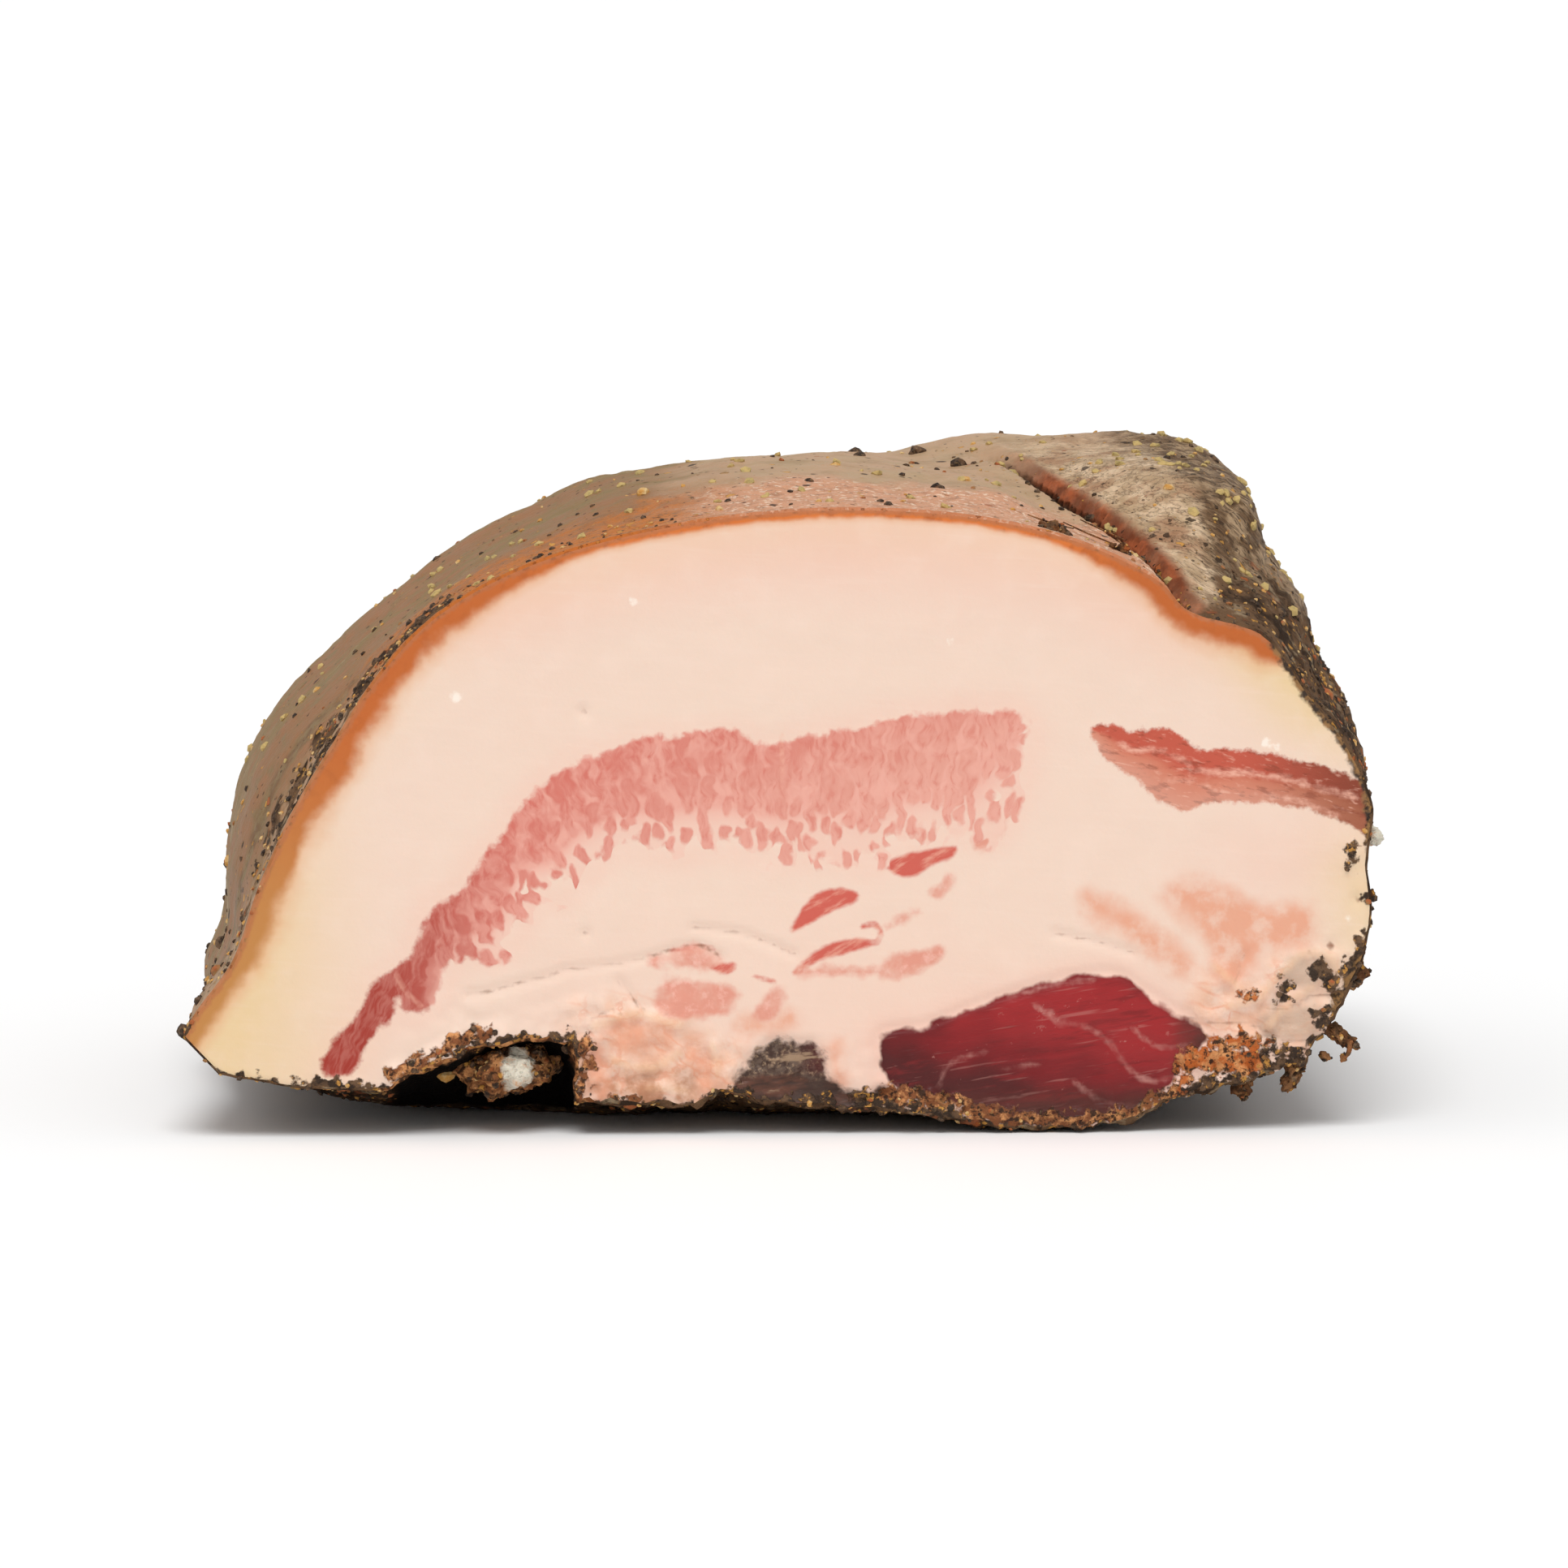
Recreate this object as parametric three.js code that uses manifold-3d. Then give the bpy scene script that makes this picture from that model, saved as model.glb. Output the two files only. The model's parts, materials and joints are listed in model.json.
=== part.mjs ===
// Half a guanciale, cured pork jowl, cut straight across and lying on its flesh side.
// Millimetres, +Z up. The flat cut faces -Y, the arched skin is on top and the far end is rounded.
// The whole piece is one solid: skin, fat and lean have grown together, and the coarse pepper
// pieces of its crust are fused to it. The origin is under the middle of its bounding box.
import * as THREE from "three";
import { mergeVertices } from "three/addons/utils/BufferGeometryUtils.js";
import Module from "manifold-3d";

const wasm = await Module();
wasm.setup();

// Driving dimensions
const LENGTH = 128; // from the cut to the tip of the rounded end
const STRAIGHT = 74; // the part of the length before the rounded end starts
const CUT_HALF_WIDTH = 77.7; // half the width of the cut
const MIDDLE = { x: 1.1, y: 64 }; // the middle of the bounding box, where the origin goes
const CORE = { x: 4, z: 37 }; // the middle of the cut, which bulges are measured from
const TIP = { x: 7, z: 28 }; // where the rounded end closes
const END_SLANT = 0.09; // how much further the right side of the end reaches, per mm of width
const END_ROUNDNESS = 0.82; // under 1 is blunter than a half ellipse
const END_OVAL = { x: 74, z: 37, amount: 0.75 }; // half axes of the oval that the section eases into

// Edge of the cut over the skin, from the thin left edge to the end of the rind
const SKIN_EDGE = [
  [-CUT_HALF_WIDTH, 13.4],
  [-76.5, 16.1],
  [-71.3, 23.4],
  [-67.9, 32.9],
  [-63.6, 42.5],
  [-58.3, 51.5],
  [-52.3, 60.7],
  [-45.3, 68.1],
  [-34.2, 74.5],
  [-17.2, 79.6],
  [4, 82.2],
  [25.3, 81.2],
  [40.3, 77.5],
  [50, 72.5],
  [53.4, 69],
  [61.5, 66.4],
  [64.7, 64.2],
];

// Edge of the cut down the trimmed right side, where there is no rind
const TRIMMED_EDGE = [
  [69.5, 57.5],
  [74.3, 51.1],
  [CUT_HALF_WIDTH, 42.5],
  [77, 35.7],
  [77.6, 28.4],
  [75.9, 21.3],
  [72.7, 14.9],
  [68.6, 8.7],
];

const FOOT_HEIGHT = 0.6; // the underside clears the table by this much, all round the flat

// Underside of the cut from right to left: the foot, the ragged middle and the torn hollow
const UNDER_EDGE = [
  [68.6, 8.7],
  [61.5, 6.6],
  [51.9, 4.4],
  [46.2, 1.5],
  [40.3, FOOT_HEIGHT],
  [27.4, FOOT_HEIGHT],
  [23.3, 1.7],
  [10.4, 3.3],
  [-2.7, 4],
  [-7.7, 5.9],
  [-11, 4],
  [-19.4, 4],
  [-26.3, 4.5],
  [-27.4, 12.4],
  [-32.9, 12.8],
  [-40.3, 11.2],
  [-46.7, 8.8],
  [-51.2, 6.1],
  [-62.9, 6.6],
  [-73.2, 8.5],
];
const RAGGED_DEPTH = 24; // how far the torn underside of the cut reaches back
const SOLE = { from: -42, to: 46, leftRise: 31, rightRise: 23 }; // the flattened underside, and the rises beside it

// Corners of the flat that the piece rests on, as [x, distance behind the cut]
const FLAT = [
  [-38, 27],
  [-22, 14],
  [38, 10],
  [46, 30],
  [44, 64],
  [26, 84],
  [-22, 84],
  [-41, 60],
];
const FLAT_THICKNESS = 4; // most of it is inside the meat

// How far the skin stands out behind the cut, in mm, for directions seen from the core in degrees
const SWELL = {
  from: -30,
  step: 10,
  values: [
    0.5, 0.4, 0.4, 1.1, 3.3, 3.2, 3.1, 3.4, 0.4, 1.9, 1.5, 2, 2.2, 2.6, 2.5, 2.4, 0.4, -0.5, -0.6, 1.6, 5.1, 4.7,
    0.7, -5.9,
  ],
};
const SWELL_REACH = 38; // how far behind the cut the skin has swelled out fully

// The hump on the right is highest behind the fold, which runs back and to the left from the cut
const HUMP = { size: 12, at: 38, spreadDown: 14, spreadUp: 28, reach: 36, run: 15, spill: 0.25 };
const SHOULDER = { size: 1.9, at: 34, dipAt: 28, spread: 3, y: 44, reach: 28 }; // full, with a dip under it
const FOLD = { startX: 54, drift: 0.37, wall: 3, run: 2.6, depth: 2.4, width: 2.2, reach: 66 };

// Mesh steps, and the pepper
const SKIN_STEPS = 58;
const UNDER_STEP = 6.5;
const STRAIGHT_STEPS = 18;
const END_STEPS = 11;
const PEPPER = { count: 144, smallest: 0.7, largest: 1.35, sunk: 0.6, seed: 7 };

const COLOURS = { crust: 0x6b5140 };

const radians = THREE.MathUtils.degToRad;
const degrees = THREE.MathUtils.radToDeg;

function ease(value, from, to) {
  return THREE.MathUtils.smoothstep(value, from, to);
}

function bell(value, middle, spread) {
  return Math.exp(-(((value - middle) / spread) ** 2));
}

// Seeded random numbers from 0 to 1
function randomSource(seed) {
  let state = seed;
  return () => {
    state = (state + 0x6d2b79f5) | 0;
    let t = Math.imul(state ^ (state >>> 15), 1 | state);
    t = (t + Math.imul(t ^ (t >>> 7), 61 | t)) ^ t;
    return ((t ^ (t >>> 14)) >>> 0) / 4294967296;
  };
}

// Points at equal steps of arc along a smooth curve through the given [x, z] points
function alongCurve(points, steps) {
  const curve = new THREE.CatmullRomCurve3(points.map(([x, z]) => new THREE.Vector3(x, 0, z)));
  curve.arcLengthDivisions = 2000;
  return curve.getSpacedPoints(steps).map((p) => [p.x, p.z]);
}

// Direction of a point of the cut seen from the core, from -90 at the foot to 270
function direction(x, z) {
  const angle = degrees(Math.atan2(z - CORE.z, x - CORE.x));
  return angle < -90 ? angle + 360 : angle;
}

// The swell in a direction, on a smooth curve through its values
function swellAt(angle) {
  const last = SWELL.values.length - 1;
  const place = THREE.MathUtils.clamp((angle - SWELL.from) / SWELL.step, 0, last - 1e-6);
  const i = Math.floor(place);
  const w = place - i;
  const [a, b, c, d] = [i - 1, i, i + 1, i + 2].map((k) => SWELL.values[THREE.MathUtils.clamp(k, 0, last)]);
  return b + 0.5 * w * (c - a + w * (2 * a - 5 * b + 4 * c - d + w * (3 * b - a - 3 * c + d)));
}

// Points from corner to corner, with none further apart than the step
function cornerToCorner(points, step) {
  return points.slice(1).flatMap(([x2, z2], i) => {
    const [x1, z1] = points[i];
    const pieces = Math.ceil(Math.hypot(x2 - x1, z2 - z1) / step);
    return Array.from({ length: pieces }, (_, k) => [
      THREE.MathUtils.lerp(x1, x2, (k + 1) / pieces),
      THREE.MathUtils.lerp(z1, z2, (k + 1) / pieces),
    ]);
  });
}

// Height of the underside further back: a flat sole that curves up on both sides
function soleHeight(x) {
  const left = Math.max(0, (SOLE.from - x) / SOLE.leftRise);
  const right = Math.max(0, (x - SOLE.to) / SOLE.rightRise);
  return FOOT_HEIGHT + 8 * left ** 2 + 8 * right ** 1.7;
}

// Distance from the fold, positive behind it and to its right
function pastFold(x, y) {
  return (x - FOLD.startX + FOLD.drift * y) / Math.hypot(1, FOLD.drift);
}

// Soft unevenness of the rear of the piece
function unevenness(x, y, z) {
  const slow = Math.sin(0.071 * x + 0.052 * y + 1.1) * Math.sin(0.083 * y - 0.06 * z + 0.4);
  const quick = Math.sin(0.17 * x - 0.11 * z + 2.3) * Math.sin(0.15 * y + 0.13 * z);
  return (1.5 * slow + 0.7 * quick) * ease(y, 30, 90);
}

// How far the skin at a point of the cut's edge stands out further back
function skinSwell(x, y, z) {
  const angle = direction(x, z);
  const fold = pastFold(x, y);
  const shoulder = bell(angle, SHOULDER.at, SHOULDER.spread) - bell(angle, SHOULDER.dipAt, SHOULDER.spread);
  const hump =
    HUMP.size * bell(angle, HUMP.at, angle < HUMP.at ? HUMP.spreadDown : HUMP.spreadUp) +
    SHOULDER.size * shoulder * bell(y, SHOULDER.y, SHOULDER.reach);
  const onTop = ease(angle, 8, 24) * (1 - ease(y, FOLD.reach / 2, FOLD.reach));
  const wall = FOLD.wall * ease(fold, 0, FOLD.run) * (1 - ease(fold, FOLD.run, HUMP.run)) * ease(y, 0, 12);
  const groove = FOLD.depth * bell(fold, 0, FOLD.width) * ease(y, -4, 6);
  return (
    swellAt(angle) * ease(y, 0, SWELL_REACH) +
    hump * ease(y, 0, HUMP.reach) * ease(fold, -HUMP.spill * y, HUMP.run) +
    (wall - groove) * onTop
  );
}

// A point of the cut's edge moved back along the piece. share runs from 0 at the cut to 1 at the tip.
function carriedBack([x, z], share, isSkin) {
  const straightShare = STRAIGHT_STEPS / (STRAIGHT_STEPS + END_STEPS);
  const turn = Math.max(0, (share - straightShare) / (1 - straightShare)) * 90;
  const y =
    share <= straightShare
      ? STRAIGHT * (share / straightShare) ** 1.3
      : STRAIGHT + (LENGTH - STRAIGHT) * Math.sin(radians(turn)) ** 0.95;
  const size = Math.max(0, Math.cos(radians(turn))) ** END_ROUNDNESS;
  const angle = Math.atan2(z - CORE.z, x - CORE.x);
  let out = unevenness(x, y, z);
  let height = z;
  if (isSkin) out += skinSwell(x, y, z);
  else {
    height = THREE.MathUtils.lerp(z, soleHeight(x), ease(y, 0, RAGGED_DEPTH));
    out *= ease(height, 0, 8);
  }
  const rounding = END_OVAL.amount * ease(y, STRAIGHT - 14, LENGTH);
  const oval = Math.atan2((z - CORE.z) / END_OVAL.z, (x - CORE.x) / END_OVAL.x);
  const wide = THREE.MathUtils.lerp(x + out * Math.cos(angle), CORE.x + END_OVAL.x * Math.cos(oval), rounding);
  const high = THREE.MathUtils.lerp(height + out * Math.sin(angle), CORE.z + END_OVAL.z * Math.sin(oval), rounding);
  const across = TIP.x + size * (wide - TIP.x);
  const up = TIP.z + size * (high - TIP.z);
  return new THREE.Vector3(across, y + END_SLANT * across * size * ease(y, 0, LENGTH), up);
}

// The rim of the cut, clockwise as seen by someone facing it: over the skin, down, and back below
function cutRim() {
  const over = alongCurve([...SKIN_EDGE, ...TRIMMED_EDGE], SKIN_STEPS).map((at) => ({ at, isSkin: true }));
  const below = cornerToCorner(UNDER_EDGE, UNDER_STEP).map((at) => ({ at, isSkin: false }));
  return [...over, ...below];
}

function solidFrom(geometry) {
  const bare = geometry.clone();
  for (const name of Object.keys(bare.attributes)) if (name !== "position") bare.deleteAttribute(name);
  const merged = mergeVertices(bare, 1e-4);
  return new wasm.Manifold(
    new wasm.Mesh({
      numProp: 3,
      vertProperties: new Float32Array(merged.attributes.position.array),
      triVerts: new Uint32Array(merged.index.array),
    }),
  );
}

function geometryFrom(solid) {
  const mesh = solid.getMesh();
  const geometry = new THREE.BufferGeometry();
  geometry.setAttribute("position", new THREE.BufferAttribute(new Float32Array(mesh.vertProperties), 3));
  geometry.setIndex(new THREE.BufferAttribute(new Uint32Array(mesh.triVerts), 1));
  geometry.computeVertexNormals();
  return geometry;
}

// The meat itself: rings of the cut's rim carried back, the flat cut in front and a tip behind
function meat(rim) {
  const rings = STRAIGHT_STEPS + END_STEPS;
  const around = rim.length;
  const points = [];
  for (let j = 0; j < rings; j++)
    for (const { at, isSkin } of rim) points.push(carriedBack(at, j / rings, isSkin));
  const tip = points.push(carriedBack([TIP.x, TIP.z], 1, true)) - 1;
  const faces = [];
  for (let j = 0; j < rings - 1; j++)
    for (let i = 0; i < around; i++) {
      const a = j * around + i;
      const b = j * around + ((i + 1) % around);
      faces.push(a, b, a + around, b, b + around, a + around);
    }
  const last = (rings - 1) * around;
  for (let i = 0; i < around; i++) faces.push(last + i, last + ((i + 1) % around), tip);
  const contour = rim.map(({ at }) => new THREE.Vector2(at[0], at[1]));
  for (const [a, b, c] of THREE.ShapeUtils.triangulateShape(contour, [])) faces.push(a, b, c);
  const geometry = new THREE.BufferGeometry().setFromPoints(points);
  geometry.setIndex(faces);
  return solidFrom(geometry);
}

// Where its own weight has pressed the underside flat
function restingFlat() {
  const outline = new THREE.Shape(FLAT.map(([x, y]) => new THREE.Vector2(x, y)));
  return solidFrom(new THREE.ExtrudeGeometry(outline, { depth: FLAT_THICKNESS, bevelEnabled: false }));
}

// A lump of fat and pepper that hangs in the torn hollow
function hangingLump() {
  const lump = new THREE.IcosahedronGeometry(1, 1);
  lump.scale(6.8, 9.5, 3.6);
  lump.translate(-35.6, 9.6, 8.2);
  return solidFrom(lump);
}

// Torn shreds at the lower right corner of the cut
function shreds() {
  const places = [
    { at: [73.5, 3, 12.4], size: [3.8, 1.5, 1.2], tilt: 35 },
    { at: [67.8, 4, 7.4], size: [1.3, 1.3, 3.6], tilt: 24 },
    { at: [62, 5, 5.4], size: [1.5, 1.5, 2.6], tilt: -8 },
    { at: [77, 3, 38.8], size: [2.4, 1.5, 1.4], tilt: 12 },
    { at: [76.2, 4, 20.2], size: [2.2, 2.6, 2], tilt: -20 },
  ];
  return places.map(({ at, size, tilt }) => {
    const shred = new THREE.IcosahedronGeometry(1, 1);
    shred.scale(...size);
    shred.rotateY(radians(tilt));
    shred.translate(...at);
    return solidFrom(shred);
  });
}

// Coarse pepper, thickest on the trimmed side, the underside's rim and along the fold
function pepperPieces(rim) {
  const random = randomSource(PEPPER.seed);
  const pieces = [];
  while (pieces.length < PEPPER.count) {
    const { at, isSkin } = rim[Math.floor(random() * rim.length)];
    const share = 0.05 + 0.88 * random();
    const keep = random();
    const centre = carriedBack(at, share, isSkin);
    const ahead = carriedBack(at, share + 0.02, isSkin);
    const fold = Math.abs(pastFold(centre.x, centre.y));
    const peppery = at[0] > 68 || fold < 7 || centre.z < 22 ? 1 : 0.3;
    const size = PEPPER.smallest + (PEPPER.largest - PEPPER.smallest) * random() ** 2;
    const flatness = 0.6 + 0.35 * random();
    const turn = random() * Math.PI;
    if (keep > peppery || centre.z < 3) continue;
    const outward = new THREE.Vector3(centre.x - CORE.x, 0, centre.z - CORE.z).normalize();
    const along = ahead.sub(centre).normalize();
    outward.addScaledVector(along, -outward.dot(along)).normalize();
    const piece = new THREE.IcosahedronGeometry(size);
    piece.scale(1, flatness, 0.8);
    piece.rotateZ(turn);
    centre.addScaledVector(outward, size * (0.5 - PEPPER.sunk));
    piece.translate(centre.x, Math.max(centre.y, size + 0.4), centre.z);
    pieces.push(solidFrom(piece));
  }
  return pieces;
}

function guanciale() {
  const rim = cutRim();
  let solid = meat(rim);
  for (const extra of [restingFlat(), hangingLump(), ...shreds(), ...pepperPieces(rim)]) solid = solid.add(extra);
  const geometry = geometryFrom(solid);
  geometry.translate(-MIDDLE.x, -MIDDLE.y, 0);
  const mesh = new THREE.Mesh(
    geometry,
    new THREE.MeshStandardMaterial({ color: COLOURS.crust, roughness: 0.85, metalness: 0 }),
  );
  mesh.name = "guanciale";
  return mesh;
}

const group = new THREE.Group();
group.add(guanciale());

export default group;
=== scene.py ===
"""Half a guanciale, cured pork jowl, cut straight across: the look of its skin, fat, lean and pepper."""

import json
import math

import bmesh
import bpy
import numpy as np
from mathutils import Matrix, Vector, noise
from mathutils.geometry import delaunay_2d_cdt

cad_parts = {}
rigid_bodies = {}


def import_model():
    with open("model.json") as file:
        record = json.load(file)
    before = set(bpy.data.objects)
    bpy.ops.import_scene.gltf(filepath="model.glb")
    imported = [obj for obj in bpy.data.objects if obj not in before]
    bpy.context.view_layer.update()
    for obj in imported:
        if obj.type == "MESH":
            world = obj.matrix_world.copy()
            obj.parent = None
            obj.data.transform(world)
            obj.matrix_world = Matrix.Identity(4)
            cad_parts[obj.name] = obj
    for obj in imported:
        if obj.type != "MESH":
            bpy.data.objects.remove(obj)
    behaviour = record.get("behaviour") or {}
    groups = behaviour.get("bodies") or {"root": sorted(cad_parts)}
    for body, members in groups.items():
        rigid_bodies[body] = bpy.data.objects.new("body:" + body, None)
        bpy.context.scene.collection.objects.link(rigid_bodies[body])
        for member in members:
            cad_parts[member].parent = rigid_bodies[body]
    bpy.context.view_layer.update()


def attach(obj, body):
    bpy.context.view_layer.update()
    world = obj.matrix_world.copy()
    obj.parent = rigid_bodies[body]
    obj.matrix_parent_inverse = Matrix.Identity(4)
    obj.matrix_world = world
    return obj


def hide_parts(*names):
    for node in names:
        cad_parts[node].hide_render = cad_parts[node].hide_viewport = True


bl_info = {
    "name": "Cut Guanciale",
    "version": (1, 0, 0),
    "blender": (4, 5, 0),
    "location": "3D View > Sidebar > Guanciale",
    "description": "Makes a cut half of a cured pork jowl with its rind, fat, lean streaks and pepper crust",
    "category": "Object",
}

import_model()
NODE = "guanciale"
BODY = "root"
MM = 0.001

# Sizes of the solid, in millimetres, with x across, y back from the cut and z up
LENGTH = 128
STRAIGHT = 74
CUT_HALF_WIDTH = 77.7
MIDDLE = (1.1, 64)
CORE = (4, 37)
TIP = (7, 28)
END_SLANT = 0.09
END_ROUNDNESS = 0.82
END_OVAL = (74, 37, 0.75)
SKIN_EDGE = [
    (-CUT_HALF_WIDTH, 13.4), (-76.5, 16.1), (-71.3, 23.4), (-67.9, 32.9), (-63.6, 42.5), (-58.3, 51.5),
    (-52.3, 60.7), (-45.3, 68.1), (-34.2, 74.5), (-17.2, 79.6), (4, 82.2), (25.3, 81.2), (40.3, 77.5),
    (50, 72.5), (53.4, 69), (61.5, 66.4), (64.7, 64.2),
]
TRIMMED_EDGE = [
    (69.5, 57.5), (74.3, 51.1), (CUT_HALF_WIDTH, 42.5), (77, 35.7), (77.6, 28.4), (75.9, 21.3), (72.7, 14.9),
    (68.6, 8.7),
]
FOOT_HEIGHT = 0.6
UNDER_EDGE = [
    (68.6, 8.7), (61.5, 6.6), (51.9, 4.4), (46.2, 1.5), (40.3, FOOT_HEIGHT), (27.4, FOOT_HEIGHT), (23.3, 1.7),
    (10.4, 3.3), (-2.7, 4), (-7.7, 5.9), (-11, 4), (-19.4, 4), (-26.3, 4.5), (-27.4, 12.4), (-32.9, 12.8),
    (-40.3, 11.2), (-46.7, 8.8), (-51.2, 6.1), (-62.9, 6.6), (-73.2, 8.5),
]
RAGGED_DEPTH = 24
SOLE = (-42, 46, 31, 23)
SWELL = {
    "from": -30, "step": 10,
    "values": [
        0.5, 0.4, 0.4, 1.1, 3.3, 3.2, 3.1, 3.4, 0.4, 1.9, 1.5, 2, 2.2, 2.6, 2.5, 2.4, 0.4, -0.5, -0.6, 1.6, 5.1,
        4.7, 0.7, -5.9,
    ],
}
FLAT = [(-38, 27), (-22, 14), (38, 10), (46, 30), (44, 64), (26, 84), (-22, 84), (-41, 60)]
SWELL_REACH = 38
HUMP = {"size": 12, "at": 38, "down": 14, "up": 28, "reach": 36, "run": 15, "spill": 0.25}
SHOULDER = {"size": 1.9, "at": 34, "dip": 28, "spread": 3, "y": 44, "reach": 28}
FOLD = {"start": 54, "drift": 0.37, "wall": 3, "run": 2.6, "depth": 2.4, "width": 2.2, "reach": 66}
COARSE_SKIN_STEPS = 58
COARSE_UNDER_STEP = 6.5
PEPPER = {"count": 144, "smallest": 0.7, "largest": 1.35, "sunk": 0.6, "seed": 7}

# Streaks of lean and other marks on the cut, in millimetres, as outlines or as strokes with a half width
LEAN_BAND = [
    (-60, 8.8), (-58.6, 12.4), (-56.4, 15), (-54.6, 17), (-53.4, 20), (-50.4, 22.3), (-48.3, 23.8), (-47, 26.6),
    (-45.1, 30.2), (-42.8, 31.7), (-40.9, 33.2), (-38.9, 36.6), (-36.8, 38.9), (-34.7, 42.3), (-32.1, 45.1),
    (-27.9, 48.3), (-21.5, 51.1), (-17.2, 52.3), (-13, 52.8), (-6, 53.4), (-1.3, 51.3), (4, 52.8), (9.4, 53.2),
    (14.7, 54.9), (18.9, 55.3), (25.3, 55.7), (30.6, 55.5), (32.6, 53.2), (32.3, 49.4), (30.6, 44.3), (27.9, 39.1),
    (23.2, 39.6), (17.2, 38.3), (12.1, 36.2), (6.2, 37.4), (0.9, 36.6), (-6.6, 37.9), (-15.1, 37.4), (-20.4, 37.9),
    (-23.6, 36.2), (-28.3, 31.9), (-32.1, 32.3), (-33.8, 27.7), (-36.8, 24.3), (-41.1, 24.3), (-43.3, 21.8),
    (-44.4, 18.9), (-46.6, 16.6), (-48.8, 16.6), (-49.6, 18.6), (-50.9, 15.4), (-53.4, 13.2), (-55.3, 9), (-57.6, 8.2),
]
BAND_TOP_POINTS = 28
SIDE_STREAK = [
    (40.7, 53.2), (43, 53.9), (45.9, 53), (49.7, 53.2), (52.5, 52), (56.3, 50.4), (60.1, 50.6), (64.8, 49.6),
    (69.5, 48.5), (74.3, 47), (79, 45.4), (79, 38), (76.6, 39), (74.3, 40.4), (71, 41.8), (66.7, 42.8), (58.6, 43.4),
    (52.5, 42.3), (48.2, 44.7), (46.2, 46.8), (43, 48.5), (41.6, 51),
]
STREAK_TOP_POINTS = 11
MUSCLE = [
    (13.6, 13.2), (19.2, 14.1), (25.1, 16.4), (31.7, 18.7), (36.4, 20.1), (41.2, 20.8), (44.5, 20.6), (48.2, 18.2),
    (52, 15.8), (56.3, 13), (55.3, 11.6), (52.5, 8.7), (51.6, 6.4), (47.3, 4), (44.9, 2.1), (36, 0.6), (28.5, 1.4),
    (24.5, 3.6), (19.4, 4.6), (15.5, 5.6), (13.2, 9.4),
]
RED_MARKS = [
    ([(1.4, 26.8), (2, 28.2), (3.5, 30.6), (5.6, 32.1), (7.9, 32.5), (10.3, 31.8), (9.7, 30.6), (6.2, 29.1), (2.6, 27.1)], 0),
    ([(1.4, 21.2), (3.2, 22.9), (5, 24.4), (7.4, 25.4), (10.3, 25.9), (12.7, 25.3), (9.7, 24.1), (5, 22.9), (2.6, 21.4)], 0),
    ([(12.7, 25.3), (13.3, 26.5), (12.4, 27.7), (10.9, 27.4)], 0.3), ([(-9, 22.4), (-5.7, 22.8), (-6.9, 21.2)], 0),
    ([(13.8, 35.3), (16.2, 36.8), (19.2, 37.4), (23, 37.8), (22.7, 36.5), (20.3, 35.6), (16.8, 33.8)], 0),
    ([(-14.3, 24.3), (-11, 24.9), (-8.6, 24.7)], 0.12), ([(-3.4, 21), (-0.6, 20.2)], 0.15),
]
PALE_MARKS = [
    ([(12.7, 20.9), (14.1, 22.9), (17.4, 24.1), (20.9, 24.4), (20.4, 22.6), (17.4, 21.5), (14.4, 20.3)], 0),
    ([(-16.6, 17.9), (-15.4, 20.3), (-13.3, 20.6), (-9.2, 20.3), (-6.2, 19.4), (-5.1, 18.2), (-6.2, 16.4), (-8.6, 15.5),
      (-12.2, 15.5), (-15.1, 16.4)], 0),
    ([(-3.6, 15.6), (-1.5, 18.8), (0.4, 19.2), (0.6, 17.4), (-1.6, 15.4)], 0),
    ([(-16.9, 23.2), (-11.3, 25), (-7.4, 22.9), (-10.4, 21.7), (-13.9, 22.6)], 0),
    ([(25.4, 37.7), (26.3, 40.1), (28, 41.8), (29.5, 42.4), (29.8, 41.2), (28.3, 39.2), (26.6, 37.6)], 0),
    ([(20.4, 31.8), (21.9, 33.6)], 0.6), ([(2.6, 21.4), (7, 21.6), (12.4, 21.8)], 0.4), ([(14.2, 27.1), (16.2, 28.5), (18, 29.4)], 0.2),
]
STAINS = [
    ([(50.6, 30.4), (51.6, 33), (55.4, 33.6), (59, 31.6), (64, 30), (70, 29.6), (69.6, 24.6), (64, 23.8), (60, 19.6),
      (57, 20), (56, 25.4)], 0),
    ([(41, 30), (45.9, 27.6), (49.4, 24.6), (52.4, 22)], 1.6), ([(49, 25), (53, 22.4)], 1.2),
    ([(-20.6, 13.4), (-15.6, 12.8)], 2.1), ([(-11.4, 11.4), (-9, 6.8)], 1.5), ([(-24.2, 11), (-23.4, 6)], 1.3),
    ([(-4.6, 14), (1.4, 15.4)], 1.0), ([(7.2, 11.4), (8, 7)], 0.7),
]
SEAMS_IN_MUSCLE = [
    ([(33.4, 17), (36, 15.2), (40.6, 13.8), (43.4, 11.8), (45.6, 8.6), (48.4, 7)], 0.15), ([(20.9, 6.4), (22.1, 9.3), (26.9, 10.8)], 0.12),
    ([(35.5, 16.3), (36.4, 14.4), (38.8, 14.4)], 0.1), ([(45.9, 8.3), (47.8, 6.9), (52, 7.3)], 0.16), ([(30, 17.9), (36, 19.6), (41, 20.2)], 0.14),
    ([(38.5, 7), (41.5, 4.6), (47.3, 3.1)], 0.12), ([(46, 14), (49.4, 11.4), (53.4, 11.4)], 0.12), ([(29, 8.4), (34, 9.2)], 0.06),
]
SEAMS_IN_STREAK = [
    ([(44, 51.3), (46.4, 50.4), (49.7, 50.4), (53.5, 48.9)], 0.22), ([(54, 47.6), (60, 47.4), (65, 46.8), (71, 45.2), (76, 43.9)], 0.34),
    ([(50.5, 46.6), (54.5, 46), (58, 44.6)], 0.16), ([(62, 44.4), (68, 43.6), (73.6, 41.2)], 0.12),
]
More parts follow.
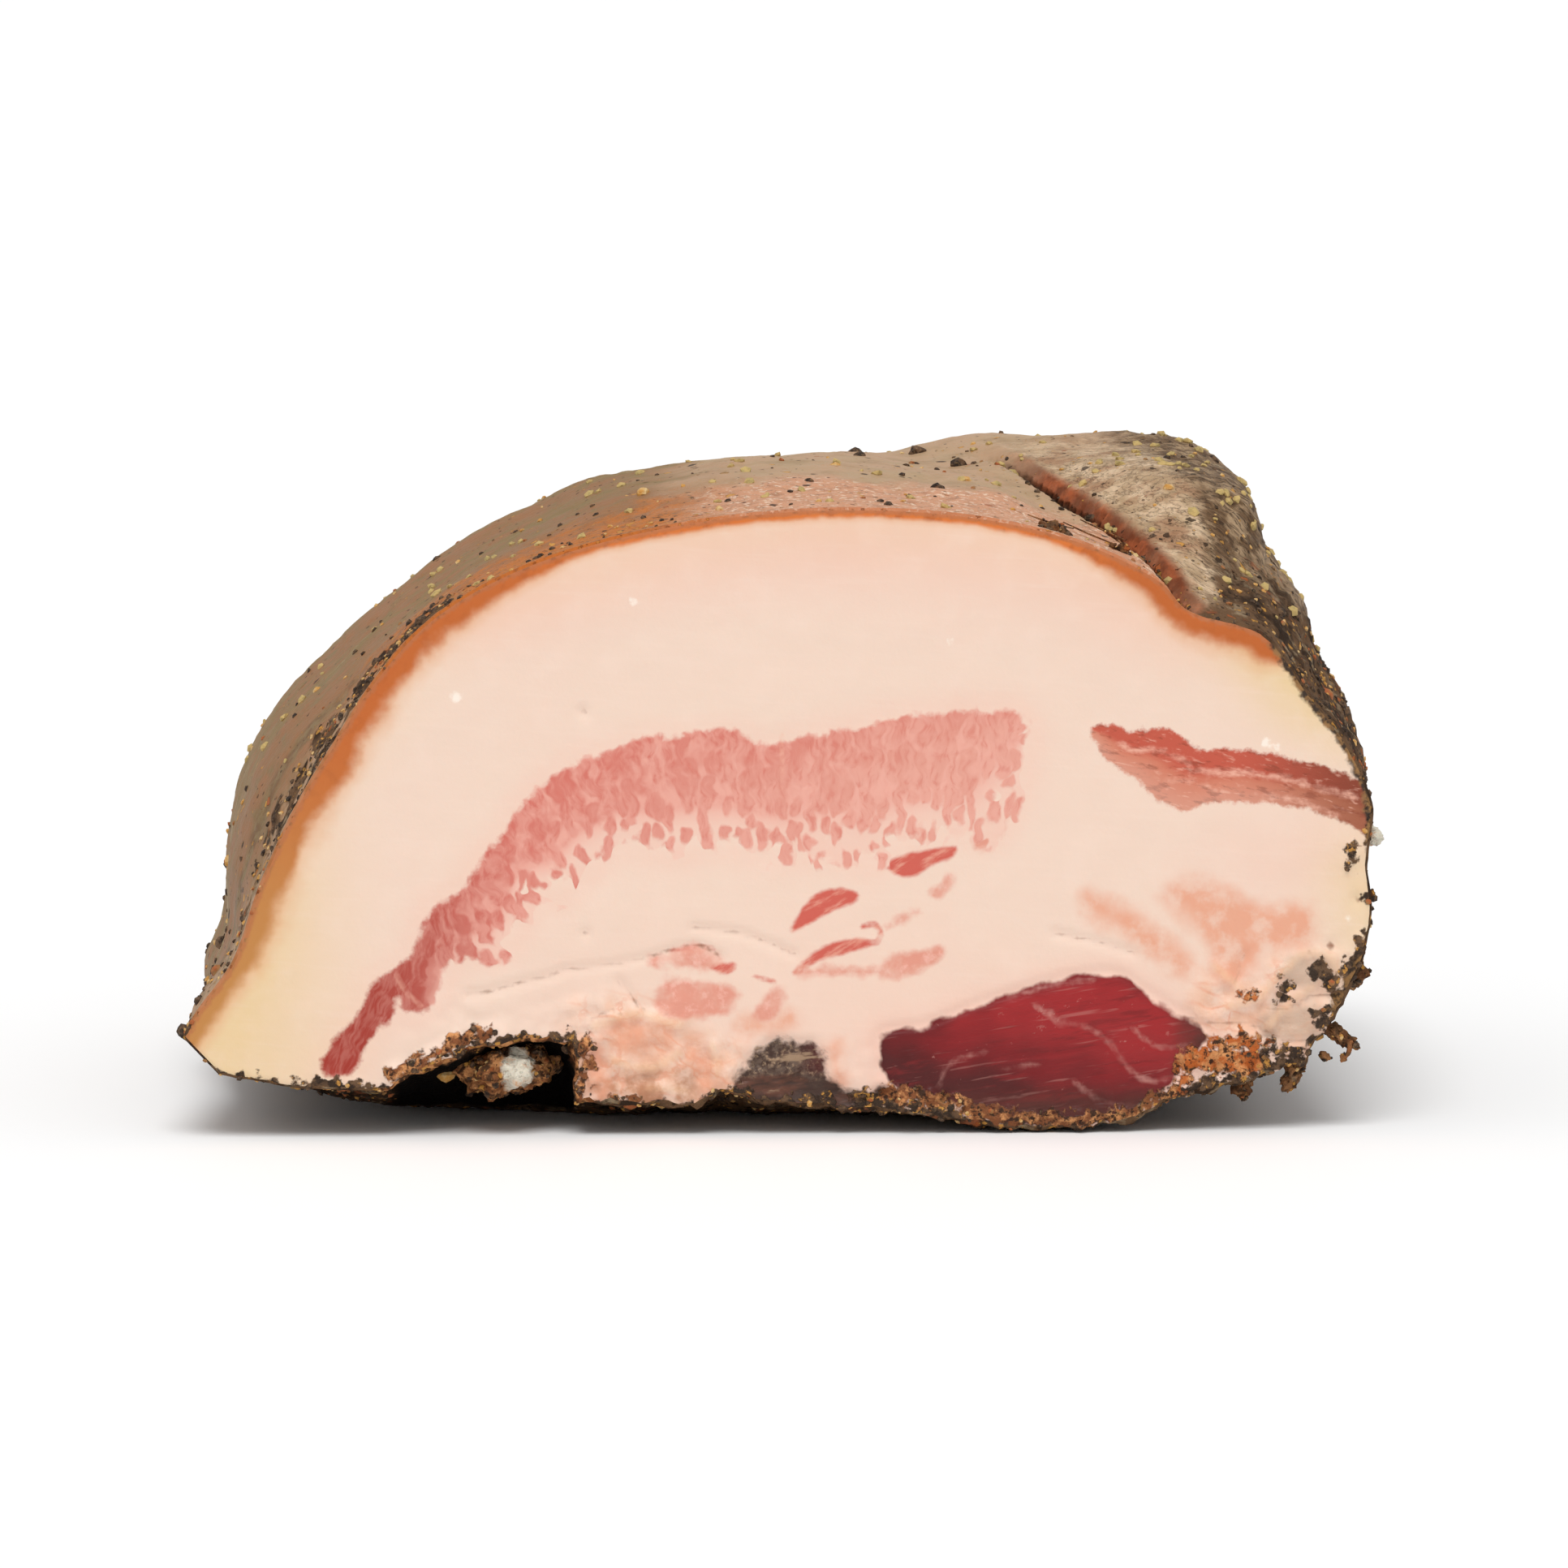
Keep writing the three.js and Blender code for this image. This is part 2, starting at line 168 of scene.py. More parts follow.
BAND_SPLIT = [([(0.2, 52.8), (0.4, 49.4), (0.2, 45.4)], 0.2), ([(-46.8, 17.4), (-49, 19.6), (-50, 21.6)], 0.25)]
CRACKS = [
    ([(-40.8, 18.8), (-38.2, 19.1), (-34, 20.3), (-29.9, 21.2), (-28.1, 22)], 0.1),
    ([(-28, 22), (-22.2, 22.6), (-17.5, 23.5), (-12.7, 24.9), (-10.6, 25.2), (-7.4, 23.4)], 0.04), ([(-21, 20.6), (-19.2, 18.2), (-17.5, 16.4)], 0.06),
    ([(-11.3, 27.4), (-4.5, 26.5), (2, 23.8)], 0.02), ([(36, 26.4), (41.9, 25.1), (46.6, 23.6)], 0.03), ([(61, 23.4), (59.6, 19.8)], 0.05),
    ([(63, 16.6), (66, 16.2), (69.5, 17.8), (72.6, 18)], 0.06), ([(56, 14.6), (62, 14), (66, 12.2), (71, 12)], 0.05),
    ([(69.4, 23.6), (69.5, 23.6)], 0.25), ([(72.2, 24.4), (72.3, 24.4)], 0.35), ([(75.7, 30.6), (75.8, 30.5)], 0.25),
    ([(-25.4, 26.8), (-25.2, 26.7)], 0.1), ([(-25.7, 56), (-25.4, 55.7)], 0.15), ([(-24.6, 15.4), (-22, 16.6), (-20.2, 16)], 0.03),
]
TENDONS = [
    ([(58.5, 16.6), (62.6, 17.8), (65.6, 20.8), (68.6, 23.4), (71.8, 23.2), (73.2, 21.2)], 0.45),
    ([(64, 14), (67, 17.2), (69.6, 19)], 0.4), ([(57, 22), (60.4, 18.8)], 0.35), ([(-24, 14.6), (-19, 16.2), (-13, 14.6)], 0.5),
    ([(-21.6, 10), (-17, 9), (-13.4, 10.8)], 0.5), ([(-17, 6.4), (-12.4, 6)], 0.4), ([(-8.8, 12), (-8, 8)], 0.4),
]
CRUST_STROKES = [
    ([(-60.4, 7.2), (-57, 6.9), (-52.6, 5.8)], 0.9), ([(-50.2, 7), (-46.6, 8.8), (-43.4, 10)], 0.45),
    ([(-41.8, 12.4), (-38, 12.9), (-33, 13.2), (-27.4, 13.4)], 0.4), ([(-26.4, 12.6), (-26.4, 9.6), (-27.4, 5.4)], 0.45),
    ([(-26.4, 4.4), (-18.3, 4)], 0.3), ([(-9.8, 3.6), (-8, 5.6), (-6.8, 4.4)], 0.8), ([(-7.6, 4.6), (-5.8, 4.2)], 0.6), ([(-6, 3.6), (2, 3.1), (8, 3.4)], 0.3),
    ([(10.6, 4.2), (14, 4.6), (18, 3.4), (24.3, 1.9)], 1.1), ([(24, 1.4), (29.6, 0.6), (37, 0.2), (44.5, 0.6)], 1.2),
    ([(52.4, 5.0), (57, 6.2), (61, 7.2)], 0.9), ([(61.6, 9.6), (65.8, 8.8)], 1.1), ([(63.5, 11), (70, 10.6)], 0.8), ([(66, 8.6), (70.4, 9.4)], 0.9),
    ([(76.6, 24.4), (75.6, 22), (74.8, 19)], 1.6), ([(66.3, 19.7), (66, 18)], 0.75), ([(70.6, 21.3), (72.2, 19.6)], 1.2),
    ([(70.6, 15.6), (72.2, 16.4)], 0.8), ([(72.2, 13.8), (71, 14.2)], 0.7), ([(73.4, 18.4), (72.6, 14)], 0.6),
    ([(77.4, 46), (78, 41), (77.4, 38.4)], 0.7), ([(75, 37), (74.6, 35.2)], 0.6), ([(77.6, 30.8), (77.5, 30.4)], 0.5),
]
DRY_STROKES = [
    ([(-6.8, 3.6), (-6.2, 6.4), (-4.5, 9.2), (-3, 11), (-0.9, 12.6), (1.6, 12.3), (4, 12.1), (5.8, 10.6), (6.3, 7.6),
      (7.6, 6.4), (9.7, 5.2), (11.8, 5.6), (13.4, 6.0), (13.6, 3.2), (2, 2.8)], 0),
]
TORN_FAT = [([(-22, 12), (-16, 9), (-10, 7)], 6), ([(-26, 15.5), (-14, 15.4)], 2), ([(58, 17), (68, 14)], 4), ([(66, 21), (72, 21)], 2)]
GREY_FAT = [([(65, 14.6), (70, 14.4)], 2.2), ([(68, 21), (71.5, 21)], 2.1)]
ORANGE_CRUMB = [
    ([(54, 9.6), (61.4, 9.2)], 1.7), ([(56.6, 12), (62, 11.6)], 0.8), ([(46.6, 3), (50.6, 5), (53.4, 7.6)], 0.9),
    ([(60, 18.2), (62.6, 18.1)], 0.35), ([(14, 5.6), (19, 4.8), (24, 3.6), (29, 2.2), (38, 1.8), (45, 2.2)], 1.0),
    ([(-50.4, 8.4), (-46.8, 10.2), (-43.6, 11.6), (-41.4, 13.2), (-38, 13.7)], 0.85), ([(-25.4, 13), (-25.4, 9), (-26.4, 5.2)], 0.75),
    ([(-26, 4.9), (-19, 4.8)], 0.3), ([(64, 12.2), (60.6, 13.2)], 0.3),
]
WHITE_DOTS = [(-42, 57.8, 0.7), (-19, 70.2, 0.5), (22.3, 64.7, 0.3), (63.6, 51.3, 0.6), (65, 50.7, 0.45), (74.5, 28, 0.3)]
LUMP = {"at": (-35.6, 9.6, 8.2), "size": (6.8, 9.5, 3.6)}
SHREDS = [
    ((73.5, 3, 12.4), (3.4, 1.2, 0.9), 35), ((67.8, 4, 7.4), (1.1, 1.1, 3.2), 24), ((61.2, 5, 5.8), (1.2, 1.2, 2.0), -8),
    ((77, 3, 38.8), (2.4, 1.5, 1.4), 12), ((75.4, 4, 20.6), (2.0, 2.4, 2.2), -20),
]
CRUMBS = [
    ((71.8, 3, 9.5), (0.8, 0.7, 0.6), 10), ((74.2, 2.4, 9.3), (0.45, 0.4, 0.6), 0), ((60.5, 4.6, 4.9), (0.9, 0.9, 0.8), 0),
    ((64.8, 3, 7.8), (0.7, 0.7, 0.6), 10), ((56.4, 3, 5.6), (0.9, 0.8, 0.6), 0), ((77.8, 2, 31), (0.45, 0.5, 0.7), 0),
]
CURL = [(72.4, 2.6, 13.6), (74.2, 2.2, 12.8), (75.1, 2.0, 11.2), (74.9, 2.2, 9.9), (74.2, 2.4, 9.3)]

# Clumps of grains and loose bristles on top: places as x and distance behind the cut, and their reach
CLUMPS = {
    "black": [(36, 4, 1.7), (48, 15, 1.5), (-31, 4, 1.2), (14, 5, 0.9)],
    "ochre": [(45.6, 9, 1.5), (42.4, 8, 1.0), (8, 18, 1.0)],
}
TOP_CRUMBS = [(35.8, 3.4, 0.9), (37.4, 4.4, 0.7), (34.6, 4.8, 0.6), (36.6, 5.6, 0.6), (45.4, 7, 0.9), (43.8, 6.4, 0.6), (47.6, 12, 1.1), (49, 14, 0.7)]
BRISTLES = [[(44.5, 20), (47.5, 12), (50, 5)], [(38, 13), (41, 9), (44, 6)], [(33, 9), (36, 8), (39, 8)], [(41, 22), (43, 17), (46, 13)]]

GRAIN_KINDS = {
    "black": {"colour": "pepper_black", "second": "crust", "size": 1.0},
    "ochre": {"colour": "ochre", "second": "pepper_pale", "size": 0.8},
    "rust": {"colour": "rust", "second": "ochre_brown", "size": 0.85},
    "herb": {"colour": "flake", "second": "flake_green", "size": 1.5},
}

# Rings of the fine mesh
STRAIGHT_SHARE = 18 / 29
END_RINGS = 34
TRIMMED_POINTS = 74

# Stage, in metres and watts
SKY_LIGHT = 0.6
SKY_SEEN = 0.98
SUN = {"from": (-0.05, -0.6, 1.15), "strength": 1.87, "angle": 35}
CAMERA = {"angles": (-3, 6.5), "distance": 1.37, "lens": 241.5, "target": (-0.5, -64, 46.2)}


def ease(value, low, high):
    t = np.clip((np.asarray(value, dtype=float) - low) / (high - low), 0, 1)
    return t * t * (3 - 2 * t)


def bell(value, middle, spread):
    return np.exp(-(((value - middle) / spread) ** 2))


def blend(a, b, share):
    return a + (b - a) * share


# The shape of the solid

def along_curve(points, steps):
    """Points at equal steps along a smooth centripetal curve through the given points."""
    pts = np.array(points, dtype=float)
    pts = np.vstack([2 * pts[0] - pts[1], pts, 2 * pts[-1] - pts[-2]])
    spans = len(pts) - 3
    t = np.linspace(0, spans, 2001)
    i = np.minimum(t.astype(int), spans - 1)
    w = (t - i)[:, None]
    p0, p1, p2, p3 = pts[i], pts[i + 1], pts[i + 2], pts[i + 3]
    d0, d1, d2 = (np.sqrt(np.linalg.norm(b - a, axis=1))[:, None] for a, b in ((p0, p1), (p1, p2), (p2, p3)))
    t1 = ((p1 - p0) / d0 - (p2 - p0) / (d0 + d1) + (p2 - p1) / d1) * d1
    t2 = ((p2 - p1) / d1 - (p3 - p1) / (d1 + d2) + (p3 - p2) / d2) * d1
    fine = p1 + t1 * w + (-3 * p1 + 3 * p2 - 2 * t1 - t2) * w**2 + (2 * p1 - 2 * p2 + t1 + t2) * w**3
    length = np.concatenate([[0], np.cumsum(np.linalg.norm(np.diff(fine, axis=0), axis=1))])
    at = np.linspace(0, length[-1], steps + 1)
    return np.stack([np.interp(at, length, fine[:, k]) for k in (0, 1)], axis=1)


def corner_to_corner(points, step):
    out = []
    for (x1, z1), (x2, z2) in zip(points, points[1:]):
        pieces = math.ceil(math.hypot(x2 - x1, z2 - z1) / step)
        out += [(blend(x1, x2, k / pieces), blend(z1, z2, k / pieces)) for k in range(1, pieces + 1)]
    return np.array(out)


def cut_rim(skin_steps, under_step):
    """The rim of the cut, over the skin and back below, with a flag for what has skin or a trimmed side."""
    over = along_curve(SKIN_EDGE + TRIMMED_EDGE, skin_steps)
    below = corner_to_corner(UNDER_EDGE, under_step)
    flags = np.concatenate([np.ones(len(over), bool), np.zeros(len(below), bool)])
    return np.vstack([over, below]), flags


def swell_at(angle):
    """The swell of the skin in a direction, on a smooth curve through its values."""
    values = np.array(SWELL["values"])
    last = len(values) - 1
    place = np.clip((angle - SWELL["from"]) / SWELL["step"], 0, last - 1e-6)
    i = place.astype(int)
    w = place - i
    a, b, c, d = (values[np.clip(i + k, 0, last)] for k in (-1, 0, 1, 2))
    return b + 0.5 * w * (c - a + w * (2 * a - 5 * b + 4 * c - d + w * (3 * b - a - 3 * c + d)))


def direction(x, z):
    angle = np.degrees(np.arctan2(z - CORE[1], x - CORE[0]))
    return np.where(angle < -90, angle + 360, angle)


def past_fold(x, y):
    return (x - FOLD["start"] + FOLD["drift"] * y) / math.hypot(1, FOLD["drift"])


def unevenness(x, y, z):
    slow = np.sin(0.071 * x + 0.052 * y + 1.1) * np.sin(0.083 * y - 0.06 * z + 0.4)
    quick = np.sin(0.17 * x - 0.11 * z + 2.3) * np.sin(0.15 * y + 0.13 * z)
    return (1.5 * slow + 0.7 * quick) * ease(y, 30, 90)


def skin_swell(x, y, z):
    angle = direction(x, z)
    fold = past_fold(x, y)
    hump = HUMP["size"] * bell(angle, HUMP["at"], np.where(angle < HUMP["at"], HUMP["down"], HUMP["up"]))
    on_top = ease(angle, 8, 24) * (1 - ease(y, FOLD["reach"] / 2, FOLD["reach"]))
    wall = FOLD["wall"] * ease(fold, 0, FOLD["run"]) * (1 - ease(fold, FOLD["run"], HUMP["run"])) * ease(y, 0, 12)
    groove = FOLD["depth"] * bell(fold, 0, FOLD["width"]) * ease(y, -4, 6)
    low = -HUMP["spill"] * y
    behind = ease((fold - low) / (HUMP["run"] - low), 0, 1)
    shoulder = bell(angle, SHOULDER["at"], SHOULDER["spread"]) - bell(angle, SHOULDER["dip"], SHOULDER["spread"])
    hump = hump + SHOULDER["size"] * shoulder * bell(y, SHOULDER["y"], SHOULDER["reach"])
    return swell_at(angle) * ease(y, 0, SWELL_REACH) + hump * ease(y, 0, HUMP["reach"]) * behind + (wall - groove) * on_top


def sole_height(x):
    left = np.maximum(0, (SOLE[0] - x) / SOLE[2])
    right = np.maximum(0, (x - SOLE[1]) / SOLE[3])
    return FOOT_HEIGHT + 8 * left**2 + 8 * right**1.7


def carried_back(x, z, skin, y, size):
    """Points of the cut's rim moved back to distance y, where the rounded end has shrunk them to size."""
    angle = np.arctan2(z - CORE[1], x - CORE[0])
    swell = unevenness(x, y, z)
    height = np.where(skin, z, blend(z, sole_height(x), ease(y, 0, RAGGED_DEPTH)))
    out = np.where(skin, swell + skin_swell(x, y, z), swell * ease(height, 0, 8))
    rounding = END_OVAL[2] * ease(y, STRAIGHT - 14, LENGTH)
    oval = np.arctan2((z - CORE[1]) / END_OVAL[1], (x - CORE[0]) / END_OVAL[0])
    wide = blend(x + out * np.cos(angle), CORE[0] + END_OVAL[0] * np.cos(oval), rounding)
    high = blend(height + out * np.sin(angle), CORE[1] + END_OVAL[1] * np.sin(oval), rounding)
    across = TIP[0] + size * (wide - TIP[0])
    up = TIP[1] + size * (high - TIP[1])
    return np.stack([across, y + END_SLANT * across * size * ease(y, 0, LENGTH), up], axis=-1)


def back_and_size(share):
    """Distance behind the cut, and size of the section there, for a share of the length from cut to tip."""
    share = np.asarray(share, dtype=float)
    turn = np.radians(np.maximum(0, (share - STRAIGHT_SHARE) / (1 - STRAIGHT_SHARE)) * 90)
    y = np.where(
        share <= STRAIGHT_SHARE,
        STRAIGHT * (share / STRAIGHT_SHARE) ** 1.3,
        STRAIGHT + (LENGTH - STRAIGHT) * np.sin(turn) ** 0.95,
    )
    return y, np.maximum(0, np.cos(turn)) ** END_ROUNDNESS


# Fields and noise

def lumps(points, size, seed, octaves=3):
    """Fractal noise of about -1 to 1 with lumps of the given size in millimetres."""
    places = np.asarray(points) / size + seed * 17.3
    return np.array([noise.fractal(Vector(p), 1.0, 2.0, octaves) for p in places])


def ridges(points, size, seed):
    return 1 - np.abs(lumps(points, size, seed, 2)) * 2


def line_distance(x, z, points):
    best = np.full(x.shape, 1e9)
    for (x1, z1), (x2, z2) in zip(points, points[1:]):
        dx, dz = x2 - x1, z2 - z1
        t = np.clip(((x - x1) * dx + (z - z1) * dz) / max(dx * dx + dz * dz, 1e-9), 0, 1)
        best = np.minimum(best, np.hypot(x - x1 - t * dx, z - z1 - t * dz))
    return best


def outline_distance(x, z, points):
    """Signed distance to a closed outline, negative inside."""
    closed = points + points[:1]
    inside = np.zeros(x.shape, bool)
    for (x1, z1), (x2, z2) in zip(closed, closed[1:]):
        if z1 != z2:
            inside ^= ((z1 > z) != (z2 > z)) & (x < (x2 - x1) * (z - z1) / (z2 - z1) + x1)
    return np.where(inside, -1, 1) * line_distance(x, z, closed)


def rounded(points, pieces=4):
    """A closed outline as a smooth curve through its points."""
    p = np.array(points, dtype=float)
    before, after, later = np.roll(p, 1, axis=0), np.roll(p, -1, axis=0), np.roll(p, -2, axis=0)
    curve = []
    for w in np.arange(pieces) / pieces:
        bend = (2 * before - 5 * p + 4 * after - later) * w**2 + (3 * p - before - 3 * after + later) * w**3
        curve.append(p + ((after - before) * w + bend) / 2)
    return [tuple(q) for q in np.stack(curve, axis=1).reshape(-1, 2)]


def mark_distance(x, z, points, half):
    if not half:
        return outline_distance(x, z, rounded(points))
    line = [tuple(q) for q in along_curve(points, 4 * len(points))] if len(points) > 2 else points
    return line_distance(x, z, line) - half


def marks_distance(x, z, marks):
    """Distance to the nearest of several marks: strokes with a half width, or closed outlines where that is 0."""
    return np.min([mark_distance(x, z, points, half) for points, half in marks], axis=0)


def random_source(seed):
    """The same seeded draws that place the pepper of the solid."""
    state = seed

    def draw():
        nonlocal state
        state = (state + 0x6D2B79F5) & 0xFFFFFFFF
        t = ((state ^ (state >> 15)) * (1 | state)) & 0xFFFFFFFF
        t = ((t + (((t ^ (t >> 7)) * (61 | t)) & 0xFFFFFFFF)) & 0xFFFFFFFF) ^ t
        return ((t ^ (t >> 14)) & 0xFFFFFFFF) / 4294967296

    return draw


# Meshes

def mesh_object(name, points, faces, materials=()):
    """A smooth object at the origin from points in the solid's own millimetres."""
    placed = (np.asarray(points) - (MIDDLE[0], MIDDLE[1], 0)) * MM
    mesh = bpy.data.meshes.new(name)
    mesh.from_pydata(placed.tolist(), [], faces)
    for material in materials:
        mesh.materials.append(material)
    mesh.shade_smooth()
    mesh.update()
    piece = bpy.data.objects.new(name, mesh)
    bpy.context.scene.collection.objects.link(piece)
    return piece


def set_field(piece, name, values):
    layer = piece.data.attributes.get(name) or piece.data.attributes.new(name, "FLOAT", "POINT")
    layer.data.foreach_set("value", np.ascontiguousarray(values, dtype=np.float32))


def vertex_normals(points, faces):
    tri = np.array([f[:3] for f in faces])
    n = np.cross(points[tri[:, 1]] - points[tri[:, 0]], points[tri[:, 2]] - points[tri[:, 0]])
    total = np.zeros_like(points)
    for k in range(3):
        np.add.at(total, tri[:, k], n)
    return total / np.maximum(np.linalg.norm(total, axis=1), 1e-12)[:, None]


def cut_face_mesh(rim, spacing):
    """Triangles that fill the rim with points on a six-sided grid."""
    low, high = rim.min(axis=0), rim.max(axis=0)
    rows = np.arange(low[1], high[1], spacing * math.sqrt(3) / 2)
    places = []
    for k, z in enumerate(rows):
        x = np.arange(low[0] + (k % 2) * spacing / 2, high[0], spacing)
        places.append(np.stack([x, np.full_like(x, z)], axis=1))
    grid = np.vstack(places)
    away = outline_distance(grid[:, 0], grid[:, 1], [tuple(p) for p in rim[::2]])
    grid = grid[away < -0.6 * spacing]
    count = len(rim)
    edges = [(i, (i + 1) % count) for i in range(count)]
    found, _, faces, origin, _, _ = delaunay_2d_cdt([Vector(p) for p in np.vstack([rim, grid])], edges, [], 1, 1e-6)
    if len(found) != count + len(grid):
        raise RuntimeError("the rim of the cut crosses itself")
    index = [o[0] for o in origin]
    return grid, [tuple(index[v] for v in f) for f in faces]


class Nodes:
    """A short way to write a shader node tree."""

    def __init__(self, tree):
        self.tree = tree

    def add(self, kind, inputs=None, **settings):
        node = self.tree.nodes.new(kind)
        for key, value in settings.items():
            setattr(node, key, value)
        for key, value in (inputs or {}).items():
            self.put(node.inputs[key], value)
        return node

    def put(self, socket, value):
        if isinstance(value, bpy.types.NodeSocket):
            self.tree.links.new(value, socket)
        else:
            socket.default_value = value

    def math(self, operation, a, b=0.0, c=0.0, clamp=False):
        return self.add("ShaderNodeMath", {0: a, 1: b, 2: c}, operation=operation, use_clamp=clamp).outputs[0]

    def field(self, name):
        return self.add("ShaderNodeAttribute", attribute_name=name).outputs["Fac"]

    def mix(self, share, a, b):
        node = self.add("ShaderNodeMix", data_type="RGBA")
        self.put(node.inputs[0], share)
        self.put(node.inputs[6], a)
        self.put(node.inputs[7], b)
        return node.outputs[2]

    def step(self, value, low, high, start=0.0, end=1.0):
        node = self.add("ShaderNodeMapRange", interpolation_type="SMOOTHSTEP")
        for i, v in enumerate((value, low, high, start, end)):
            self.put(node.inputs[i], v)
        return node.outputs[0]

    def noise(self, where, size, detail=3.0, roughness=0.55):
        """Noise of 0 to 1 with features of the given size in millimetres."""
        return self.add(
            "ShaderNodeTexNoise",
            {"Vector": where, "Scale": 1 / (size * MM), "Detail": detail, "Roughness": roughness},
        ).outputs["Fac"]

    def group(self, tree, inputs=None):
        return self.add("ShaderNodeGroup", inputs, node_tree=tree)


def linear(colour):
    """An sRGB colour of 0 to 255 as the linear colour that shaders use."""
    parts = [c / 255 for c in colour[:3]]
    return tuple(p / 12.92 if p <= 0.04045 else ((p + 0.055) / 1.055) ** 2.4 for p in parts) + (1.0,)


# Shader node groups that both materials of the meat use

def new_group(name, inputs, outputs):
    """An empty shader node group with (name, type, default) inputs and (name, type) outputs."""
    tree = bpy.data.node_groups.new(name, "ShaderNodeTree")
    for title, kind, default in inputs:
        socket = tree.interface.new_socket(name=title, in_out="INPUT", socket_type=f"NodeSocket{kind}")
        if default is not None:
            socket.default_value = default
    for title, kind in outputs:
        tree.interface.new_socket(name=title, in_out="OUTPUT", socket_type=f"NodeSocket{kind}")
    n = Nodes(tree)
    return n, n.add("NodeGroupInput").outputs, n.add("NodeGroupOutput").inputs


def ragged_edge_group():
    """A mask of the inside of a distance field in millimetres, with a ragged edge."""
    n, given, result = new_group(
        "Ragged edge",
        [("Vector", "Vector", None), ("Distance", "Float", 0.0), ("Grain", "Float", 2.0), ("Amount", "Float", 0.5),
         ("Softness", "Float", 0.3)],
        [("Mask", "Float")],
    )
    scale = n.math("DIVIDE", 1 / MM, given["Grain"])
    rough = n.add("ShaderNodeTexNoise", {"Vector": given["Vector"], "Scale": scale, "Detail": 3.0}).outputs["Fac"]
    offset = n.math("MULTIPLY", n.math("SUBTRACT", rough, 0.5), n.math("MULTIPLY", given["Amount"], 4.0))
    moved = n.math("ADD", given["Distance"], offset)
    n.put(result["Mask"], n.step(moved, n.math("MULTIPLY", given["Softness"], -1.0), given["Softness"], 1.0, 0.0))
    return n.tree


def mottle_group():
    """Soft patches of a second colour."""
    n, given, result = new_group(
        "Mottle",
        [("Vector", "Vector", None), ("Colour", "Color", None), ("Patches", "Color", None), ("Size", "Float", 4.0),
         ("Cover", "Float", 0.5), ("Softness", "Float", 0.1)],
        [("Colour", "Color"), ("Mask", "Float")],
    )
    scale = n.math("DIVIDE", 1 / MM, given["Size"])
    rough = n.add(
        "ShaderNodeTexNoise", {"Vector": given["Vector"], "Scale": scale, "Detail": 4.0, "Roughness": 0.6}
    ).outputs["Fac"]
    edge = n.step(given["Cover"], 0.0, 1.0, 0.72, 0.28)
    mask = n.step(rough, n.math("SUBTRACT", edge, given["Softness"]), n.math("ADD", edge, given["Softness"]))
    n.put(result["Mask"], mask)
    n.put(result["Colour"], n.mix(mask, given["Colour"], given["Patches"]))
    return n.tree


def ground_pepper_group():
    """Specks of ground pepper that lie in the surface, with a shade and a height for each."""
    n, given, result = new_group(
        "Ground pepper",
        [("Vector", "Vector", None), ("Size", "Float", 1.0), ("Cover", "Float", 0.3)],
        [("Mask", "Float"), ("Shade", "Float"), ("Height", "Float")],
    )
    scale = n.math("DIVIDE", 1 / MM, given["Size"])
    wobble = n.add("ShaderNodeTexNoise", {"Vector": given["Vector"], "Scale": n.math("MULTIPLY", scale, 1.6)})
    shift = n.add("ShaderNodeVectorMath", {0: wobble.outputs["Color"], 1: (0.5, 0.5, 0.5)}, operation="SUBTRACT")
    spread = n.add("ShaderNodeVectorMath", {0: shift.outputs[0], "Scale": n.math("MULTIPLY", given["Size"], 0.7 * MM)}, operation="SCALE")
    moved = n.add("ShaderNodeVectorMath", {0: given["Vector"], 1: spread.outputs[0]}, operation="ADD").outputs[0]
    cells = n.add("ShaderNodeTexVoronoi", {"Vector": moved, "Scale": scale})
    parts = n.add("ShaderNodeSeparateColor", {"Color": cells.outputs["Color"]})
    radius = n.math("MULTIPLY_ADD", parts.outputs[1], 0.25, 0.2)
    inside = n.step(cells.outputs["Distance"], n.math("SUBTRACT", radius, 0.12), radius, 1.0, 0.0)
    kept = n.math("LESS_THAN", parts.outputs[0], given["Cover"])
    mask = n.math("MULTIPLY", inside, kept)
    n.put(result["Mask"], mask)
    n.put(result["Shade"], parts.outputs[2])
    n.put(result["Height"], mask)
    return n.tree


def group_named(name, maker):
    return bpy.data.node_groups.get(name) or maker()


def ragged(n, where, distance, grain, amount, softness):
    tree = group_named("Ragged edge", ragged_edge_group)
    given = {"Vector": where, "Distance": distance, "Grain": grain, "Amount": amount, "Softness": softness}
    return n.group(tree, given).outputs["Mask"]


def mottled(n, where, colour, patches, size, cover, softness=0.1):
    tree = group_named("Mottle", mottle_group)
    given = {"Vector": where, "Colour": colour, "Patches": patches, "Size": size, "Cover": cover, "Softness": softness}
    return n.group(tree, given).outputs["Colour"]


def ground_pepper(n, where, size, cover):
    tree = group_named("Ground pepper", ground_pepper_group)
    return n.group(tree, {"Vector": where, "Size": size, "Cover": cover}).outputs


def stretched(n, where, angle, ratio):
    """Coordinates that draw a texture out along a line in the plane of the cut, angle degrees below level."""
    turn = (0, math.radians(angle), 0)
    return n.add("ShaderNodeMapping", {"Vector": where, "Rotation": turn, "Scale": (ratio, 1, 1)}, vector_type="TEXTURE").outputs[0]


def new_material(name):
    material = bpy.data.materials.new(name)
    material.use_nodes = True
    n = Nodes(material.node_tree)
    n.tree.nodes.clear()
    where = n.add("ShaderNodeTexCoord").outputs["Object"]
    return material, n, where


